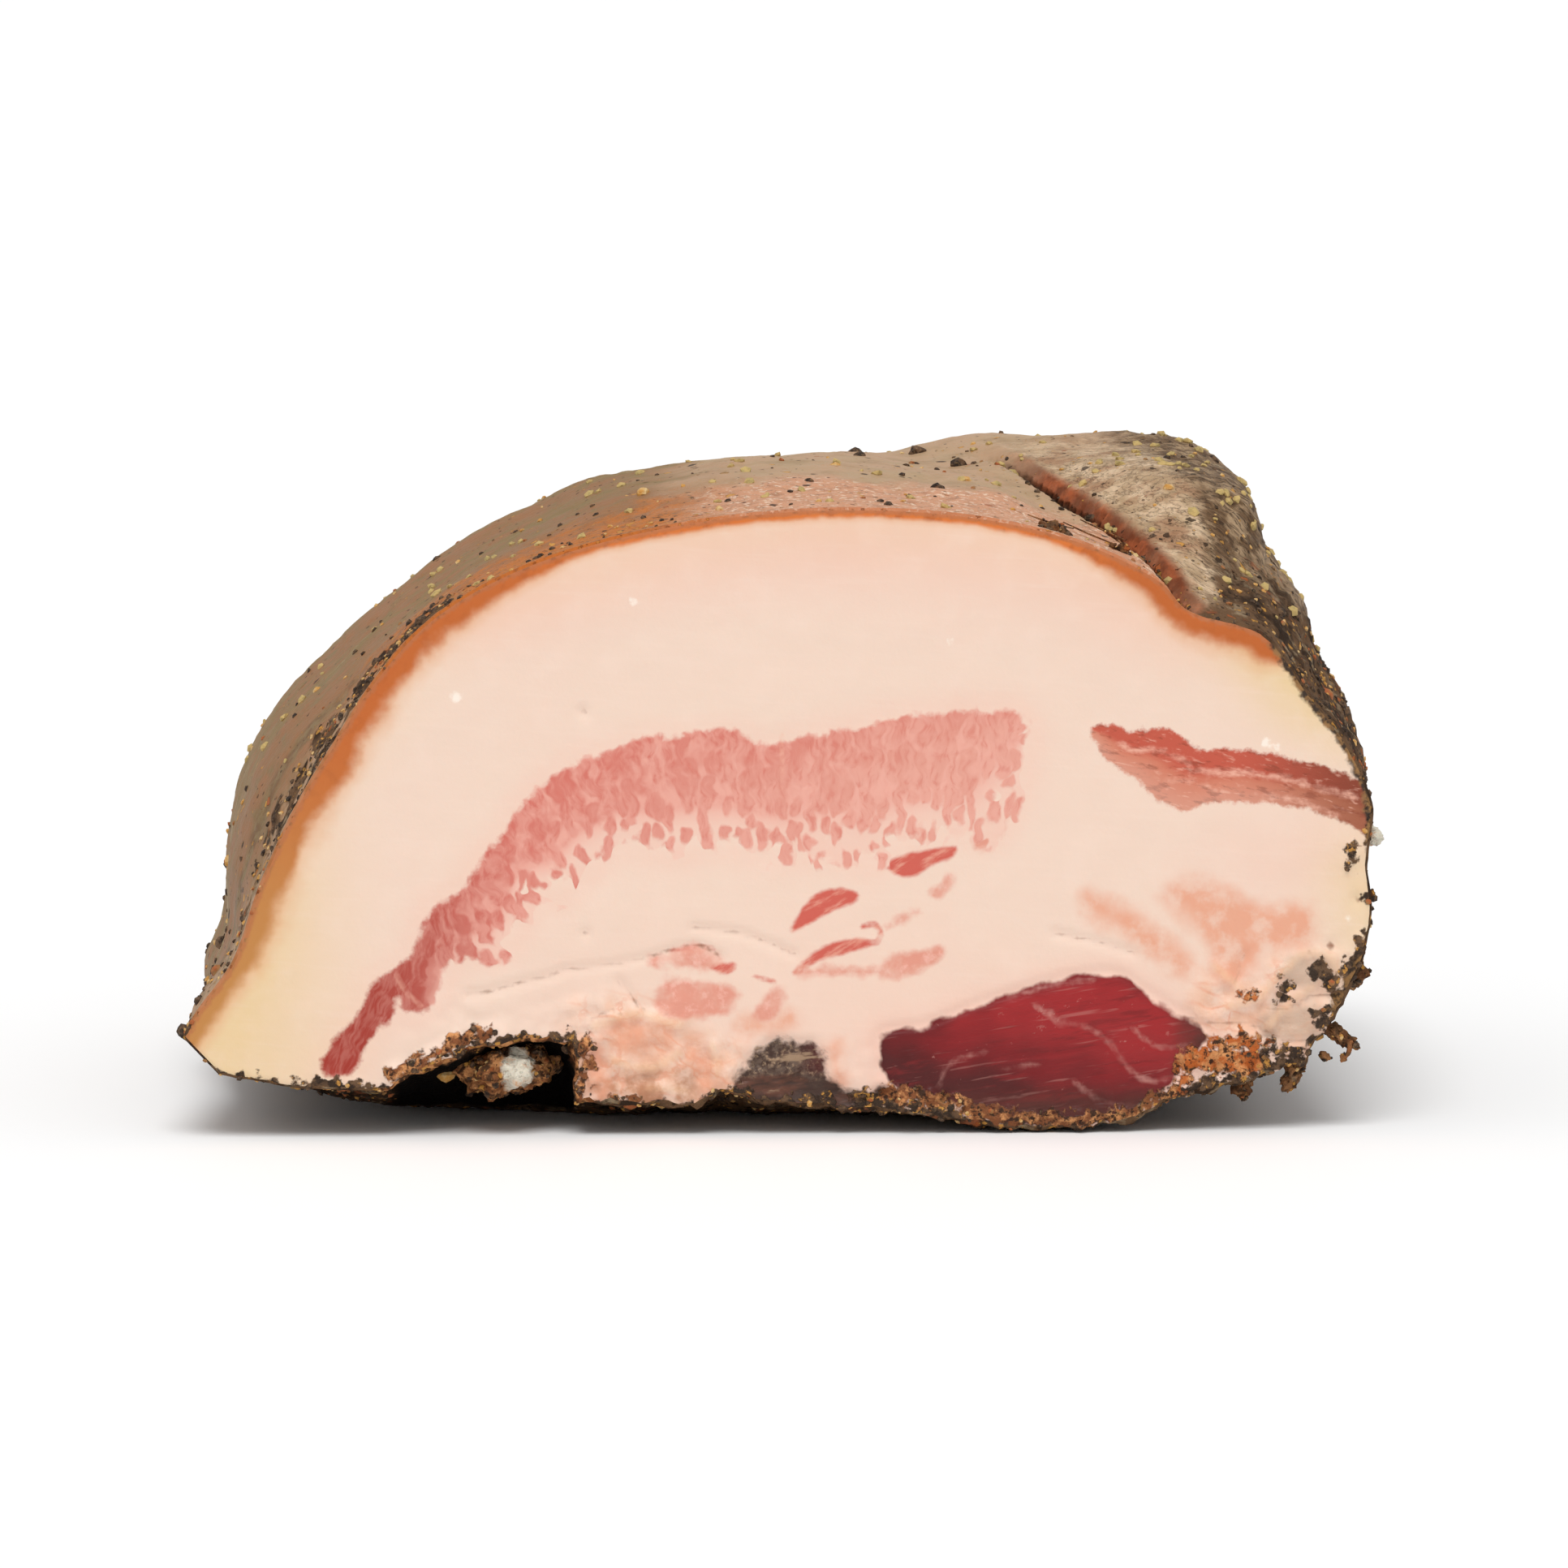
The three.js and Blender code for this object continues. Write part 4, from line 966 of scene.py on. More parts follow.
# The half itself

def ring_shares():
    """Shares of the length at which the rings lie, close together by the cut."""
    back = [0.35, 0.8, 1.4, 2.1, 2.9, 3.8, 4.8, 5.9, 7.1]
    while back[-1] < STRAIGHT - 1.5:
        back.append(back[-1] + 1.35)
    straight = [STRAIGHT_SHARE * (y / STRAIGHT) ** (1 / 1.3) for y in back]
    return np.array(straight + list(np.linspace(STRAIGHT_SHARE, 1, END_RINGS + 1)[:-1]))


def inset(rim, distance):
    """The rim's points moved inwards, in the plane of the cut."""
    ahead, behind = np.roll(rim, -1, axis=0), np.roll(rim, 1, axis=0)
    run = ahead - behind
    inward = np.stack([run[:, 1], -run[:, 0]], axis=1)
    inward /= np.maximum(np.linalg.norm(inward, axis=1), 1e-9)[:, None]
    return rim + inward * distance


def outside_masks(points, angle, y):
    """Masks of 0 to 1 for the outside, from the direction seen from the core and the distance behind the cut."""
    x, z = points[:, 0], points[:, 2]
    seen = angle + 7 * lumps(points, 15, 1) + 3 * lumps(points, 4, 2)
    patchy = lumps(points, 7, 3)
    fold = past_fold(x, points[:, 1])
    on_top = ease(angle, 24, 34) * (1 - ease(angle, 80, 100)) * (1 - ease(y, FOLD["reach"] * 0.7, FOLD["reach"] * 1.2))
    by_fold = bell(fold, -1.5, 1.6) * on_top
    skin = ease(seen, 14, 24) * (1 - ease(seen, 192, 203))
    end = ease(y + 10 * patchy, 88, 124)
    right = bell(seen, 25, 10) * (1 - ease(y, 16, 40))
    left_strip = ease(angle, 140, 148) * ease(y, 0.6, 2) * (1 - ease(y + 3 * patchy, 10, 17))
    left_strip = left_strip * (1 - 0.6 * ease(angle, 170, 180)) * (1 - ease(angle, 186, 196))
    low_left = ease(seen, 172, 192) * 0.15
    under = (x > -52) & (x < -24) & (z > 1.5) & (angle > 195)
    # Where the painted shade of the deep hollow goes
    hollow = under * ease(x, -51.5, -49.5) * (1 - ease(x, -26.5, -25)) * ease(y, 1.2, 2.6) * (1 - ease(y, 20, 27))
    return {
        "crusted": np.clip(
            1 - skin + 0.55 * end + 0.75 * right + 0.35 * by_fold * ease(patchy, -0.3, 0.3)
            + 1.2 * left_strip * ease(lumps(points, 3, 4), -0.35, 0.1), 0, 1,
        ),
        "peppery": np.clip(1 - skin + 0.6 * end + 0.7 * right + 0.6 * by_fold + low_left + left_strip
            + 0.3 * ease(angle, 98, 112) * (1 - ease(y, 5, 16)) + 0.07, 0, 1),
        "warm": (1 - ease(y + 5 * patchy, 16, 34)) * ease(angle, 30, 42) * (1 - ease(angle, 146, 172)) * (fold < 1),
        "brown": ease(seen, 98, 116) * (1 - ease(y, 60, 110) * 0.5),
        "pale_skin": on_top * ease(fold, -3, 0),
        "flank": ease(fold + 5 * patchy + 7 - 7 * ease(angle, 30, 46), 9, 24) * ease(angle, 4, 14)
        * (1 - ease(angle + 6 * patchy, 44, 56))
        * (1 - 0.7 * ease(y + 16 * patchy, 60, 110)),
        "fold_at": np.clip(fold, -30, 30),
        "fold_red": on_top * (1 - ease(y, 44, 64)),
        "hollow": hollow,
        "golden": under * (1 - ease(y, 1.2, 2.6)) * 0.8,
        "behind_cut": y - 0.7,
        "depth": y,
        "strip": left_strip,
        "core": np.full(len(points), 9.0),
    }


def grain_cover(masks, points, kind):
    """How thickly the grains of a kind lie: about 0 to 1, and none where the piece touches the table."""
    x, z = points[:, 0], points[:, 2]
    if kind == "herb":
        return (0.25 + 0.75 * masks["pale_skin"] + masks["flank"]) * (1 - masks["crusted"]) * ease(z, 30, 50)
    clumps = ease(lumps(points, 9, 5), -0.45, 0.5)
    cover = masks["peppery"] * (0.25 + 0.75 * clumps) * ease(z, 1.0, 2.2) * (1 - masks["hollow"])
    cover = cover + 1.5 * masks["strip"] * ease(lumps(points, 3, 4), -0.3, 0.3) * (kind != "rust")
    for near_x, near_y, reach in CLUMPS.get(kind, []):
        cover = cover + 9 * bell(np.hypot(x - near_x, points[:, 1] - near_y), 0, reach) * (z > 50)
    return cover


def outside_relief(points, masks, y, lower):
    """How far the outside stands out from its smooth form, in millimetres."""
    rough = masks["crusted"]
    near_cut = ease(y, 0.3, 5)
    fold = past_fold(points[:, 0], points[:, 1])
    on_top = ease(points[:, 2], 52, 66) * ease(points[:, 0], 16, 26) * ease(y, 0.5, 6) * (1 - ease(y, 50, 70))
    crease = (1.3 * bell(fold, 2.6, 1.9) - 1.5 * bell(fold, -0.1, 1.2) + 0.3 * bell(fold, -2.6, 1.4)) * on_top
    slant = points @ np.array([[0.5, 0, 0.6], [0.2, 0.4, 0], [0.4, 0, -0.9]])
    wrinkles = 0.42 * ridges(slant, 3.0, 14) * masks["flank"] * near_cut
    soft = 0.45 * lumps(points, 16, 6) + 0.16 * lumps(points, 5, 7)
    wrinkle = 0.12 * ridges(points * (1, 0.45, 1), 3.2, 8)
    crust = 0.4 * lumps(points, 6, 9) + 0.38 * lumps(points, 2.1, 10)
    torn = 0.75 * lumps(points, 3.4, 11) + 0.5 * lumps(points, 1.5, 12)
    grainy = 0.16 * lumps(points, 1.7, 13) * masks["warm"]
    smooth = (soft + wrinkle + grainy) * near_cut * (1 - 0.5 * rough)
    return smooth + crust * rough * (0.35 + 0.65 * near_cut) + torn * lower * (1 - ease(y, 3, 16)) + crease + wrinkles


def cut_fields(x, z, rim, skin_count):
    """Distances and masks on the cut, in millimetres and shares, from the outlines and strokes at the top."""
    top, bottom = LEAN_BAND[:BAND_TOP_POINTS], LEAN_BAND[BAND_TOP_POINTS - 1:] + LEAN_BAND[:1]
    to_top, to_bottom = line_distance(x, z, top), line_distance(x, z, bottom)
    band_middle = np.interp(x, [-60, -50, -40, -30, -20, -5, 10, 30], [10, 19, 30, 39, 44.5, 45.5, 45.5, 49])
    outer = [tuple(p) for p in rim[:skin_count:3]] + [tuple(rim[skin_count - 1])]
    trimmed = [tuple(p) for p in rim[skin_count - 1:skin_count + TRIMMED_POINTS:3]]
    under = [tuple(p) for p in rim[skin_count + TRIMMED_POINTS:]]
    to_skin, to_trimmed, to_under = (line_distance(x, z, line) for line in (outer, trimmed, under))
    band = outline_distance(x, z, rounded(LEAN_BAND))
    muscle = outline_distance(x, z, rounded(MUSCLE))
    upper, lower = SIDE_STREAK[:STREAK_TOP_POINTS], SIDE_STREAK[STREAK_TOP_POINTS:] + SIDE_STREAK[:1]
    from_upper, from_lower = line_distance(x, z, upper), line_distance(x, z, lower)
    thin_crust = np.interp(x, [-53, -52, -27, -25, -9, -7, 69, 70], [0.1, 0.45, 0.45, -0.4, -0.4, 0.45, 0.45, 0.1])
    crust = np.minimum(marks_distance(x, z, CRUST_STROKES), to_under - thin_crust)
    thick = 0.9 + 1.5 * ease(x, 34, 50) + 1.9 * ease(-x, 22, 50) * (0.55 + 0.45 * ease(z, 14, 30))
    fingers = np.interp(x, [-62, -50, -44, -35, -20, 0, 30], [-0.8, -0.5, 0.1, 0.25, 0.12, 0.05, -0.1])
    return {
        "rind": to_skin / thick,
        "rind_pale": (1 - ease(x, -72, -44)) * (1 - ease(z, 26, 60)),
        "rind_dark": np.maximum(ease(x, 34, 48), 0.9 * ease(-x, 16, 40)),
        "trimmed_rim": to_trimmed - 0.6 * ease(z, 36, 42) - 0.1 - 0.8 * (1 - ease(z, 20, 25)) + 0.4 * bell(z, 33, 6),
        "rosy": np.clip(
            0.8 * bell(to_skin, 2, 8) * ease(z, 55, 70)
            + 0.35 * bell(band, 0.6, 2.2)
            + 0.25 * (1 - ease(z, 8, 34)) * ease(x, -50, -20)
            + 0.35 * ease(x, 44, 66) * bell(z, 36, 6)
            + 0.5 * bell(muscle, 0, 2.5),
            0, 1,
        ),
        "yellow": np.clip(
            (1 - ease(x, -76, -48)) * (1 - ease(z, 26, 52))
            + bell(to_trimmed, 0, 6) * (0.15 + 0.75 * ease(z, 46, 56) + 0.6 * bell(z, 31, 8))
            + 0.3 * bell(to_skin, 0, 6), 0, 1,
        ),
        "band": band,
        "band_low": to_top / np.maximum(to_top + to_bottom, 1e-6),
        "band_right": ease(x, -46, 26),
        "tip": 1 - ease(x, -56, -32),
        "fibre_u": x + fingers * (z - band_middle),
        "fibre_v": z,
        "split": marks_distance(x, z, BAND_SPLIT),
        "streak": outline_distance(x, z, rounded(SIDE_STREAK)),
        "streak_low": from_upper / np.maximum(from_upper + from_lower, 1e-6),
        "streak_seam": marks_distance(x, z, SEAMS_IN_STREAK),
        "darker": ease(x, 58, 78),
        "muscle": muscle,
        # Painted light on the muscle: brighter towards the top right, painted shade towards the lower left
        "muscle_bright": ease(z + 0.3 * x, 12, 28),
        "muscle_low": np.maximum(1 - ease(z, 2.6, 7.5), ease(x, 50, 55)) * ease(x, 12, 20),
        "seam": marks_distance(x, z, SEAMS_IN_MUSCLE),
        "red": marks_distance(x, z, RED_MARKS),
        "pale": marks_distance(x, z, PALE_MARKS),
        "orange": marks_distance(x, z, STAINS),
        "torn": (1 - ease(marks_distance(x, z, TORN_FAT), -2, 2.5)),
        "torn_low": (1 - ease(z, 6, 12)) * ease(x, -30, -24) * (1 - ease(x, -14, -6)),
        "crack": marks_distance(x, z, CRACKS),
        "dry": marks_distance(x, z, DRY_STROKES),
        "dry_top": ease(z, 6.2, 9.4),
        "dry_end": 0.75 * ease(x, 1.5, 5.5) * ease(z, 7, 9),
        "tendon": marks_distance(x, z, TENDONS),
        "grey_fat": marks_distance(x, z, GREY_FAT),
        "crumb": marks_distance(x, z, ORANGE_CRUMB),
        "by_muscle": ease(x, 50, 54) * (1 - ease(x, 62, 66)),
        "crust": crust,
        "dots": np.min([np.hypot(x - cx, z - cz) - r for cx, cz, r in WHITE_DOTS], axis=0),
        "to_rim": np.minimum(np.minimum(to_skin, to_trimmed), to_under),
    }


def cut_relief(points, f):
    """How far the cut stands out towards the viewer, in millimetres."""
    low = (1 - ease(f["to_rim"], 3, 12)) * (1 - ease(points[:, 2], 12, 30)) * ease(points[:, 0], -54, -40)
    dry = 1 - ease(f["dry"], -0.8, 1.2)
    crust = 1 - ease(f["crust"], -0.4, 0.8)
    crumb = 1 - ease(f["crumb"], -0.6, 1.2)
    out = 0.12 * lumps(points, 16, 20) + 0.05 * lumps(points, 4, 21)
    out = out + 0.55 * (1 - ease(f["muscle"], -5, 0.3)) - 0.3 * bell(f["muscle"], 0.4, 0.6)
    out = out - 0.35 * bell(f["crack"], 0, 0.55) - 0.25 * bell(f["seam"], 0, 0.4) * (f["muscle"] < 0)
    out = out + (low * 0.6 + f["torn"] * 0.7) * (0.55 * lumps(points, 3.5, 22) + 0.3 * lumps(points, 1.6, 23))
    out = out - 1.1 * dry + 0.45 * dry * ridges(points * (0.4, 1, 1), 1.9, 24) + 0.5 * (1 - ease(f["tendon"], -0.5, 0.8))
    out = out + f["torn"] * 0.45 * ridges(points, 4.5, 27)
    out = out + crust * (0.25 + 0.75 * lumps(points, 1.7, 25)) + crumb * (0.4 + 1.2 * lumps(points, 2.0, 26))
    return out * ease(f["to_rim"], 0, 1.2)


def make_half(sizes, materials):
    rim, skin = cut_rim(sizes.skin_steps, sizes.under_step / MM)
    angle = direction(rim[:, 0], rim[:, 1])
    shares = ring_shares()
    y, size = back_and_size(shares)
    around = len(rim)
    rings = carried_back(rim[None, :, 0], rim[None, :, 1], skin[None, :], y[:, None], size[:, None])
    first = np.zeros((1, around, 3))
    first[0, :, [0, 2]] = inset(rim, 0.35).T
    tip = carried_back(np.array([TIP[0]]), np.array([TIP[1]]), np.array([True]), np.array([LENGTH]), np.array([0.0]))
    side = np.vstack([first.reshape(-1, 3), rings.reshape(-1, 3), tip])
    count = len(shares) + 1
    faces = [
        (j * around + i, j * around + (i + 1) % around, (j + 1) * around + (i + 1) % around, (j + 1) * around + i)
        for j in range(count - 1)
        for i in range(around)
    ]
    last = (count - 1) * around
    faces += [(last + i, last + (i + 1) % around, last + around) for i in range(around)]

    # Outside: masks, then relief along the surface's own outward direction
    side_angle = np.append(np.tile(angle, count), 90.0)
    side_y = np.append(np.repeat(np.concatenate([[0], y]), around), LENGTH)
    lower = np.append(np.tile(np.where(skin, bell(angle, -24, 10), ease(rim[:, 0], -54, -46)), count), 0)
    masks = outside_masks(side, side_angle, side_y)
    outward = vertex_normals(side, faces)
    outward[:around, 1] = 0
    outward[:around] /= np.linalg.norm(outward[:around], axis=1)[:, None]
    side = side + outward * outside_relief(side, masks, side_y, lower)[:, None] * sizes.relief
    side[:around, 1] = 0
    sole = ease(-outline_distance(side[:, 0], side[:, 1], FLAT), -3, 3) * (side[:, 2] < 12)
    side[:, 2] = np.maximum(side[:, 2] - FOOT_HEIGHT * sole, 0)

    # Cut: a fine net of triangles inside the rim, with its own relief
    front = side[:around][:, [0, 2]]
    grid, cut_faces = cut_face_mesh(front, sizes.cut_spacing / MM)
    flat = np.vstack([front, grid])
    skin_count = int(np.argmin(np.hypot(rim[:, 0] - SKIN_EDGE[-1][0], rim[:, 1] - SKIN_EDGE[-1][1]))) + 1
    fields = cut_fields(flat[:, 0], flat[:, 1], front, skin_count)
    cut = np.stack([flat[:, 0], np.zeros(len(flat)), flat[:, 1]], axis=1)
    cut[:, 1] = -cut_relief(cut, fields) * sizes.relief
    points = np.vstack([side, cut[around:]])
    offset = len(side) - around
    cut_faces = [tuple(v if v < around else v + offset for v in f) for f in cut_faces]

    piece = mesh_object("half_guanciale", points, faces + cut_faces, materials)
    piece.data.polygons.foreach_set("material_index", np.repeat([1, 0], [len(faces), len(cut_faces)]))
    where_cut = np.concatenate([np.arange(around), np.arange(len(side), len(points))])
    for name, values in fields.items():
        whole = np.zeros(len(points))
        whole[where_cut] = values
        set_field(piece, name, whole)
    for name, values in masks.items():
        whole = np.zeros(len(points))
        whole[: len(side)] = values
        set_field(piece, name, whole)
    for kind in GRAIN_KINDS:
        grains = np.zeros(len(points))
        grains[: len(side)] = grain_cover(masks, side, kind)
        grains[where_cut] = (kind != "herb") * (0.9 * (fields["crust"] < -0.1) + 0.35 * (fields["crumb"] < 0))
        set_field(piece, f"{kind}_cover", grains)
    return piece


def lumpy_ball(level, at, size, tilt, rough, seed):
    """Points and faces of a rough oval lump, tilted about the line of sight."""
    ball = bmesh.new()
    bmesh.ops.create_icosphere(ball, subdivisions=level, radius=1)
    ball.verts.ensure_lookup_table()
    points = np.array([v.co for v in ball.verts])
    faces = [tuple(v.index for v in f.verts) for f in ball.faces]
    ball.free()
    outward = points.copy()
    points = points * size
    grain = min(size)
    points += outward * (rough * (0.7 * lumps(points, grain, seed) + 0.5 * lumps(points, grain * 0.4, seed + 1)))[:, None]
    turn = math.radians(tilt)
    x = points[:, 0] * math.cos(turn) + points[:, 2] * math.sin(turn)
    z = points[:, 2] * math.cos(turn) - points[:, 0] * math.sin(turn)
    return np.stack([x, points[:, 1], z], axis=1) + at, faces


def joined(parts):
    """One list of points and one of faces from several."""
    points, faces = [], []
    start = 0
    for part_points, part_faces in parts:
        points.append(part_points)
        faces += [tuple(v + start for v in f) for f in part_faces]
        start += len(part_points)
    return np.vstack(points), faces


def strand(points, thick):
    """A thin tapering strand through the given points, as points and faces of a six-sided tube."""
    path = np.array(points, dtype=float)
    steps = 5 * (len(path) - 1)
    at = np.linspace(0, len(path) - 1, steps + 1)
    centre = np.stack([np.interp(at, range(len(path)), path[:, k]) for k in range(3)], axis=1)
    for _ in range(3):
        centre[1:-1] = (centre[:-2] + 2 * centre[1:-1] + centre[2:]) / 4
    ahead = np.gradient(centre, axis=0)
    ahead /= np.linalg.norm(ahead, axis=1)[:, None]
    side = np.cross(ahead, (0.3, 1, 0.2))
    side /= np.linalg.norm(side, axis=1)[:, None]
    up = np.cross(side, ahead)
    radius = thick * (0.35 + 0.65 * np.sin(np.linspace(0.15, 0.85, steps + 1) * math.pi))
    rings = [
        centre + radius[:, None] * (side * math.cos(k * math.pi / 3) + up * math.sin(k * math.pi / 3)) for k in range(6)
    ]
    around = np.stack(rings, axis=1).reshape(-1, 3)
    faces = [
        (6 * j + k, 6 * j + (k + 1) % 6, 6 * j + 6 + (k + 1) % 6, 6 * j + 6 + k) for j in range(steps) for k in range(6)
    ]
    return around, faces + [tuple(range(5, -1, -1)), tuple(6 * steps + k for k in range(6))]


def make_hanging(name, parts, material, crusted, core=None, golden=0.0):
    points, faces = joined(parts)
    piece = mesh_object(name, points, faces, [material])
    one = np.ones(len(points))
    for mask in ("warm", "brown", "pale_skin", "flank", "fold_red", "hollow", "strip"):
        set_field(piece, mask, 0 * one)
    set_field(piece, "golden", golden * one)
    set_field(piece, "fold_at", -30 * one)
    set_field(piece, "crusted", crusted * one)
    set_field(piece, "peppery", one)
    set_field(piece, "behind_cut", 9 * one)
    set_field(piece, "depth", 40 * one)
    set_field(piece, "core", 9 * one if core is None else core(points))
    for kind in GRAIN_KINDS:
        bare = 0 if kind == "herb" else 0.9
        set_field(piece, f"{kind}_cover", bare * (one if core is None else core(points) > 0.3))
    return piece


# Pepper

def coarse_pepper():
    """The 144 large pieces of the solid, at the same places, as points and faces for each kind of pepper."""
    rim, skin = cut_rim(COARSE_SKIN_STEPS, COARSE_UNDER_STEP)
    draw = random_source(PEPPER["seed"])
    kinds = {name: [] for name in GRAIN_KINDS}
    made = 0
    while made < PEPPER["count"]:
        i = int(draw() * len(rim))
        share = 0.05 + 0.88 * draw()
        keep = draw()
        at = []
        for s in (share, share + 0.02):
            y, size = back_and_size([s])
            at.append(carried_back(rim[i : i + 1, 0], rim[i : i + 1, 1], skin[i : i + 1], y, size)[0])
        centre, ahead = at
        fold = abs(past_fold(centre[0], centre[1]))
        peppery = 1 if rim[i, 0] > 68 or fold < 7 or centre[2] < 22 else 0.3
        size = PEPPER["smallest"] + (PEPPER["largest"] - PEPPER["smallest"]) * draw() ** 2
        flatness = 0.6 + 0.35 * draw()
        turn = draw() * math.pi
        if keep > peppery or centre[2] < 3:
            continue
        outward = np.array([centre[0] - CORE[0], 0, centre[2] - CORE[1]])
        outward /= np.linalg.norm(outward)
        along = (ahead - centre) / np.linalg.norm(ahead - centre)
        outward -= along * outward.dot(along)
        outward /= np.linalg.norm(outward)
        centre = centre + outward * size * (0.5 - PEPPER["sunk"])
        centre[1] = max(centre[1], size + 0.4)
        points, faces = lumpy_ball(2, (0, 0, 0), (size, size * flatness, size * 0.8), 0, 0.28 * size, made)
        c, s = math.cos(turn), math.sin(turn)
        spun = np.stack([points[:, 0] * c - points[:, 1] * s, points[:, 0] * s + points[:, 1] * c, points[:, 2]], axis=1)
        kind = list(GRAIN_KINDS)[made % 5 % 3]
        kinds[kind].append((spun + centre, faces))
        made += 1
    return kinds


def grain_shapes(count, seed):
    """A collection of small angular grains, half a millimetre in radius."""
    shapes = bpy.data.collections.new("grain_shapes")
    for k in range(count):
        points, faces = lumpy_ball(1, (0, 0, 0), (0.5, 0.42, 0.3), 0, 0.16, seed + k)
        mesh = bpy.data.meshes.new(f"grain_{k}")
        mesh.from_pydata((points * MM).tolist(), [], faces)
        shapes.objects.link(bpy.data.objects.new(f"grain_{k}", mesh))
    return shapes


def scatter_tree(shapes, material, cover_name):
    """Geometry Nodes that strew grains over a surface, as thickly as the named attribute says."""
    tree = bpy.data.node_groups.new("Strewn grains", "GeometryNodeTree")
    given = [
        ("Surface", "Geometry"), ("Grains per square metre", "Float"), ("Smallest", "Float"), ("Largest", "Float"),
        ("Seed", "Int"),
    ]
    sockets = {n: tree.interface.new_socket(name=n, in_out="INPUT", socket_type=f"NodeSocket{k}").identifier for n, k in given}
    tree.interface.new_socket(name="Grains", in_out="OUTPUT", socket_type="NodeSocketGeometry")
    n = Nodes(tree)
    start = n.add("NodeGroupInput").outputs
    cover = n.add("GeometryNodeInputNamedAttribute", {"Name": cover_name}, data_type="FLOAT").outputs[0]
    density = n.math("MULTIPLY", cover, start["Grains per square metre"])
    spread = n.add("GeometryNodeDistributePointsOnFaces", {"Mesh": start["Surface"], "Density": density, "Seed": start["Seed"]})
    shape = n.add("GeometryNodeCollectionInfo", {"Collection": shapes, "Separate Children": True, "Reset Children": True})
    spin = n.add("FunctionNodeRandomValue", data_type="FLOAT_VECTOR")
    n.put(spin.inputs[0], (-0.6, -0.6, 0.0))
    n.put(spin.inputs[1], (0.6, 0.6, 6.283))
    n.put(spin.inputs["Seed"], start["Seed"])
    turned = n.add("FunctionNodeRotateRotation", {0: spread.outputs["Rotation"], 1: spin.outputs[0]}, rotation_space="LOCAL")
    size = n.add("FunctionNodeRandomValue", data_type="FLOAT")
    n.put(size.inputs[2], start["Smallest"])
    n.put(size.inputs[3], start["Largest"])
    n.put(size.inputs["Seed"], start["Seed"])
    placed = n.add(
        "GeometryNodeInstanceOnPoints",
        {"Points": spread.outputs["Points"], "Instance": shape.outputs[0], "Pick Instance": True,
         "Rotation": turned.outputs[0], "Scale": size.outputs[1]},
    )
    real = n.add("GeometryNodeRealizeInstances", {0: placed.outputs[0]})
    coloured = n.add("GeometryNodeSetMaterial", {"Geometry": real.outputs[0], "Material": material})
    n.put(n.add("NodeGroupOutput").inputs[0], coloured.outputs[0])
    return tree, sockets


def strewn(piece, name, shapes, material, density, sizes, seed, cover_name):
    """A plain mesh of grains strewn over a piece."""
    carrier = bpy.data.objects.new(name, piece.data.copy())
    bpy.context.scene.collection.objects.link(carrier)
    modifier = carrier.modifiers.new("Grains", "NODES")
    tree, sockets = scatter_tree(shapes, material, cover_name)
    modifier.node_group = tree
    values = {"Grains per square metre": density, "Smallest": sizes[0], "Largest": sizes[1], "Seed": seed}
    for title, value in values.items():
        modifier[sockets[title]] = value
    graph = bpy.context.evaluated_depsgraph_get()
    mesh = bpy.data.meshes.new_from_object(carrier.evaluated_get(graph))
    carrier.modifiers.clear()
    old = carrier.data
    carrier.data = mesh
    bpy.data.meshes.remove(old)
    return carrier


def as_parts(mesh):
    points = np.empty(len(mesh.vertices) * 3)
    mesh.vertices.foreach_get("co", points)
    return points.reshape(-1, 3) / MM + (MIDDLE[0], MIDDLE[1], 0), [tuple(p.vertices) for p in mesh.polygons]


def finish_piece(piece):
    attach(piece, BODY)
    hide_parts(NODE)


# The add-on: sizes, colours, and one operator for each piece or group of pieces

def size_property(name, description, millimetres):
    return bpy.props.FloatProperty(
        name=name, description=description, default=millimetres * MM, min=0.0, soft_max=0.05, unit="LENGTH", precision=5
    )


def colour_property(name, description, colour):
    return bpy.props.FloatVectorProperty(
        name=name, description=description, default=[c / 255 for c in colour], size=3, min=0, max=1, subtype="COLOR_GAMMA"
    )


class GuancialeSizes(bpy.types.PropertyGroup):
    """Sizes of the finish: how finely the surface is made and how large its relief and pepper are"""

    skin_steps: bpy.props.IntProperty(
        name="Skin Steps", description="Steps round the cut from the left edge over the skin to the foot", default=330, min=60
    )
    under_step: size_property("Underside Step", "Distance between points along the torn lower edge", 0.75)
    cut_spacing: size_property("Cut Spacing", "Distance between points on the cut", 0.68)
    relief: bpy.props.FloatProperty(
        name="Relief", description="Strength of wrinkles, crags and tears", default=1.0, min=0.0, max=2.0, subtype="FACTOR"
    )
    grain_smallest: bpy.props.FloatProperty(name="Smallest Grain", description="Smallest strewn grain, against a 1 mm one", default=0.5)
    grain_largest: bpy.props.FloatProperty(name="Largest Grain", description="Largest strewn grain, against a 1 mm one", default=1.35)
    black_grains: bpy.props.FloatProperty(
        name="Black Grains", description="Black pepper grains for each square metre of thick crust", default=130000
    )
    ochre_grains: bpy.props.FloatProperty(
        name="Ochre Grains", description="Ochre grains for each square metre of thick crust", default=80000
    )
    rust_grains: bpy.props.FloatProperty(
        name="Rust Grains", description="Rust red grains for each square metre of thick crust", default=45000
    )
    herb_grains: bpy.props.FloatProperty(
        name="Herb Flakes", description="Flakes of herbs for each square metre of the hump", default=26000
    )
    floor_size: bpy.props.FloatProperty(name="Floor Size", description="Side of the floor", default=12.0, unit="LENGTH")


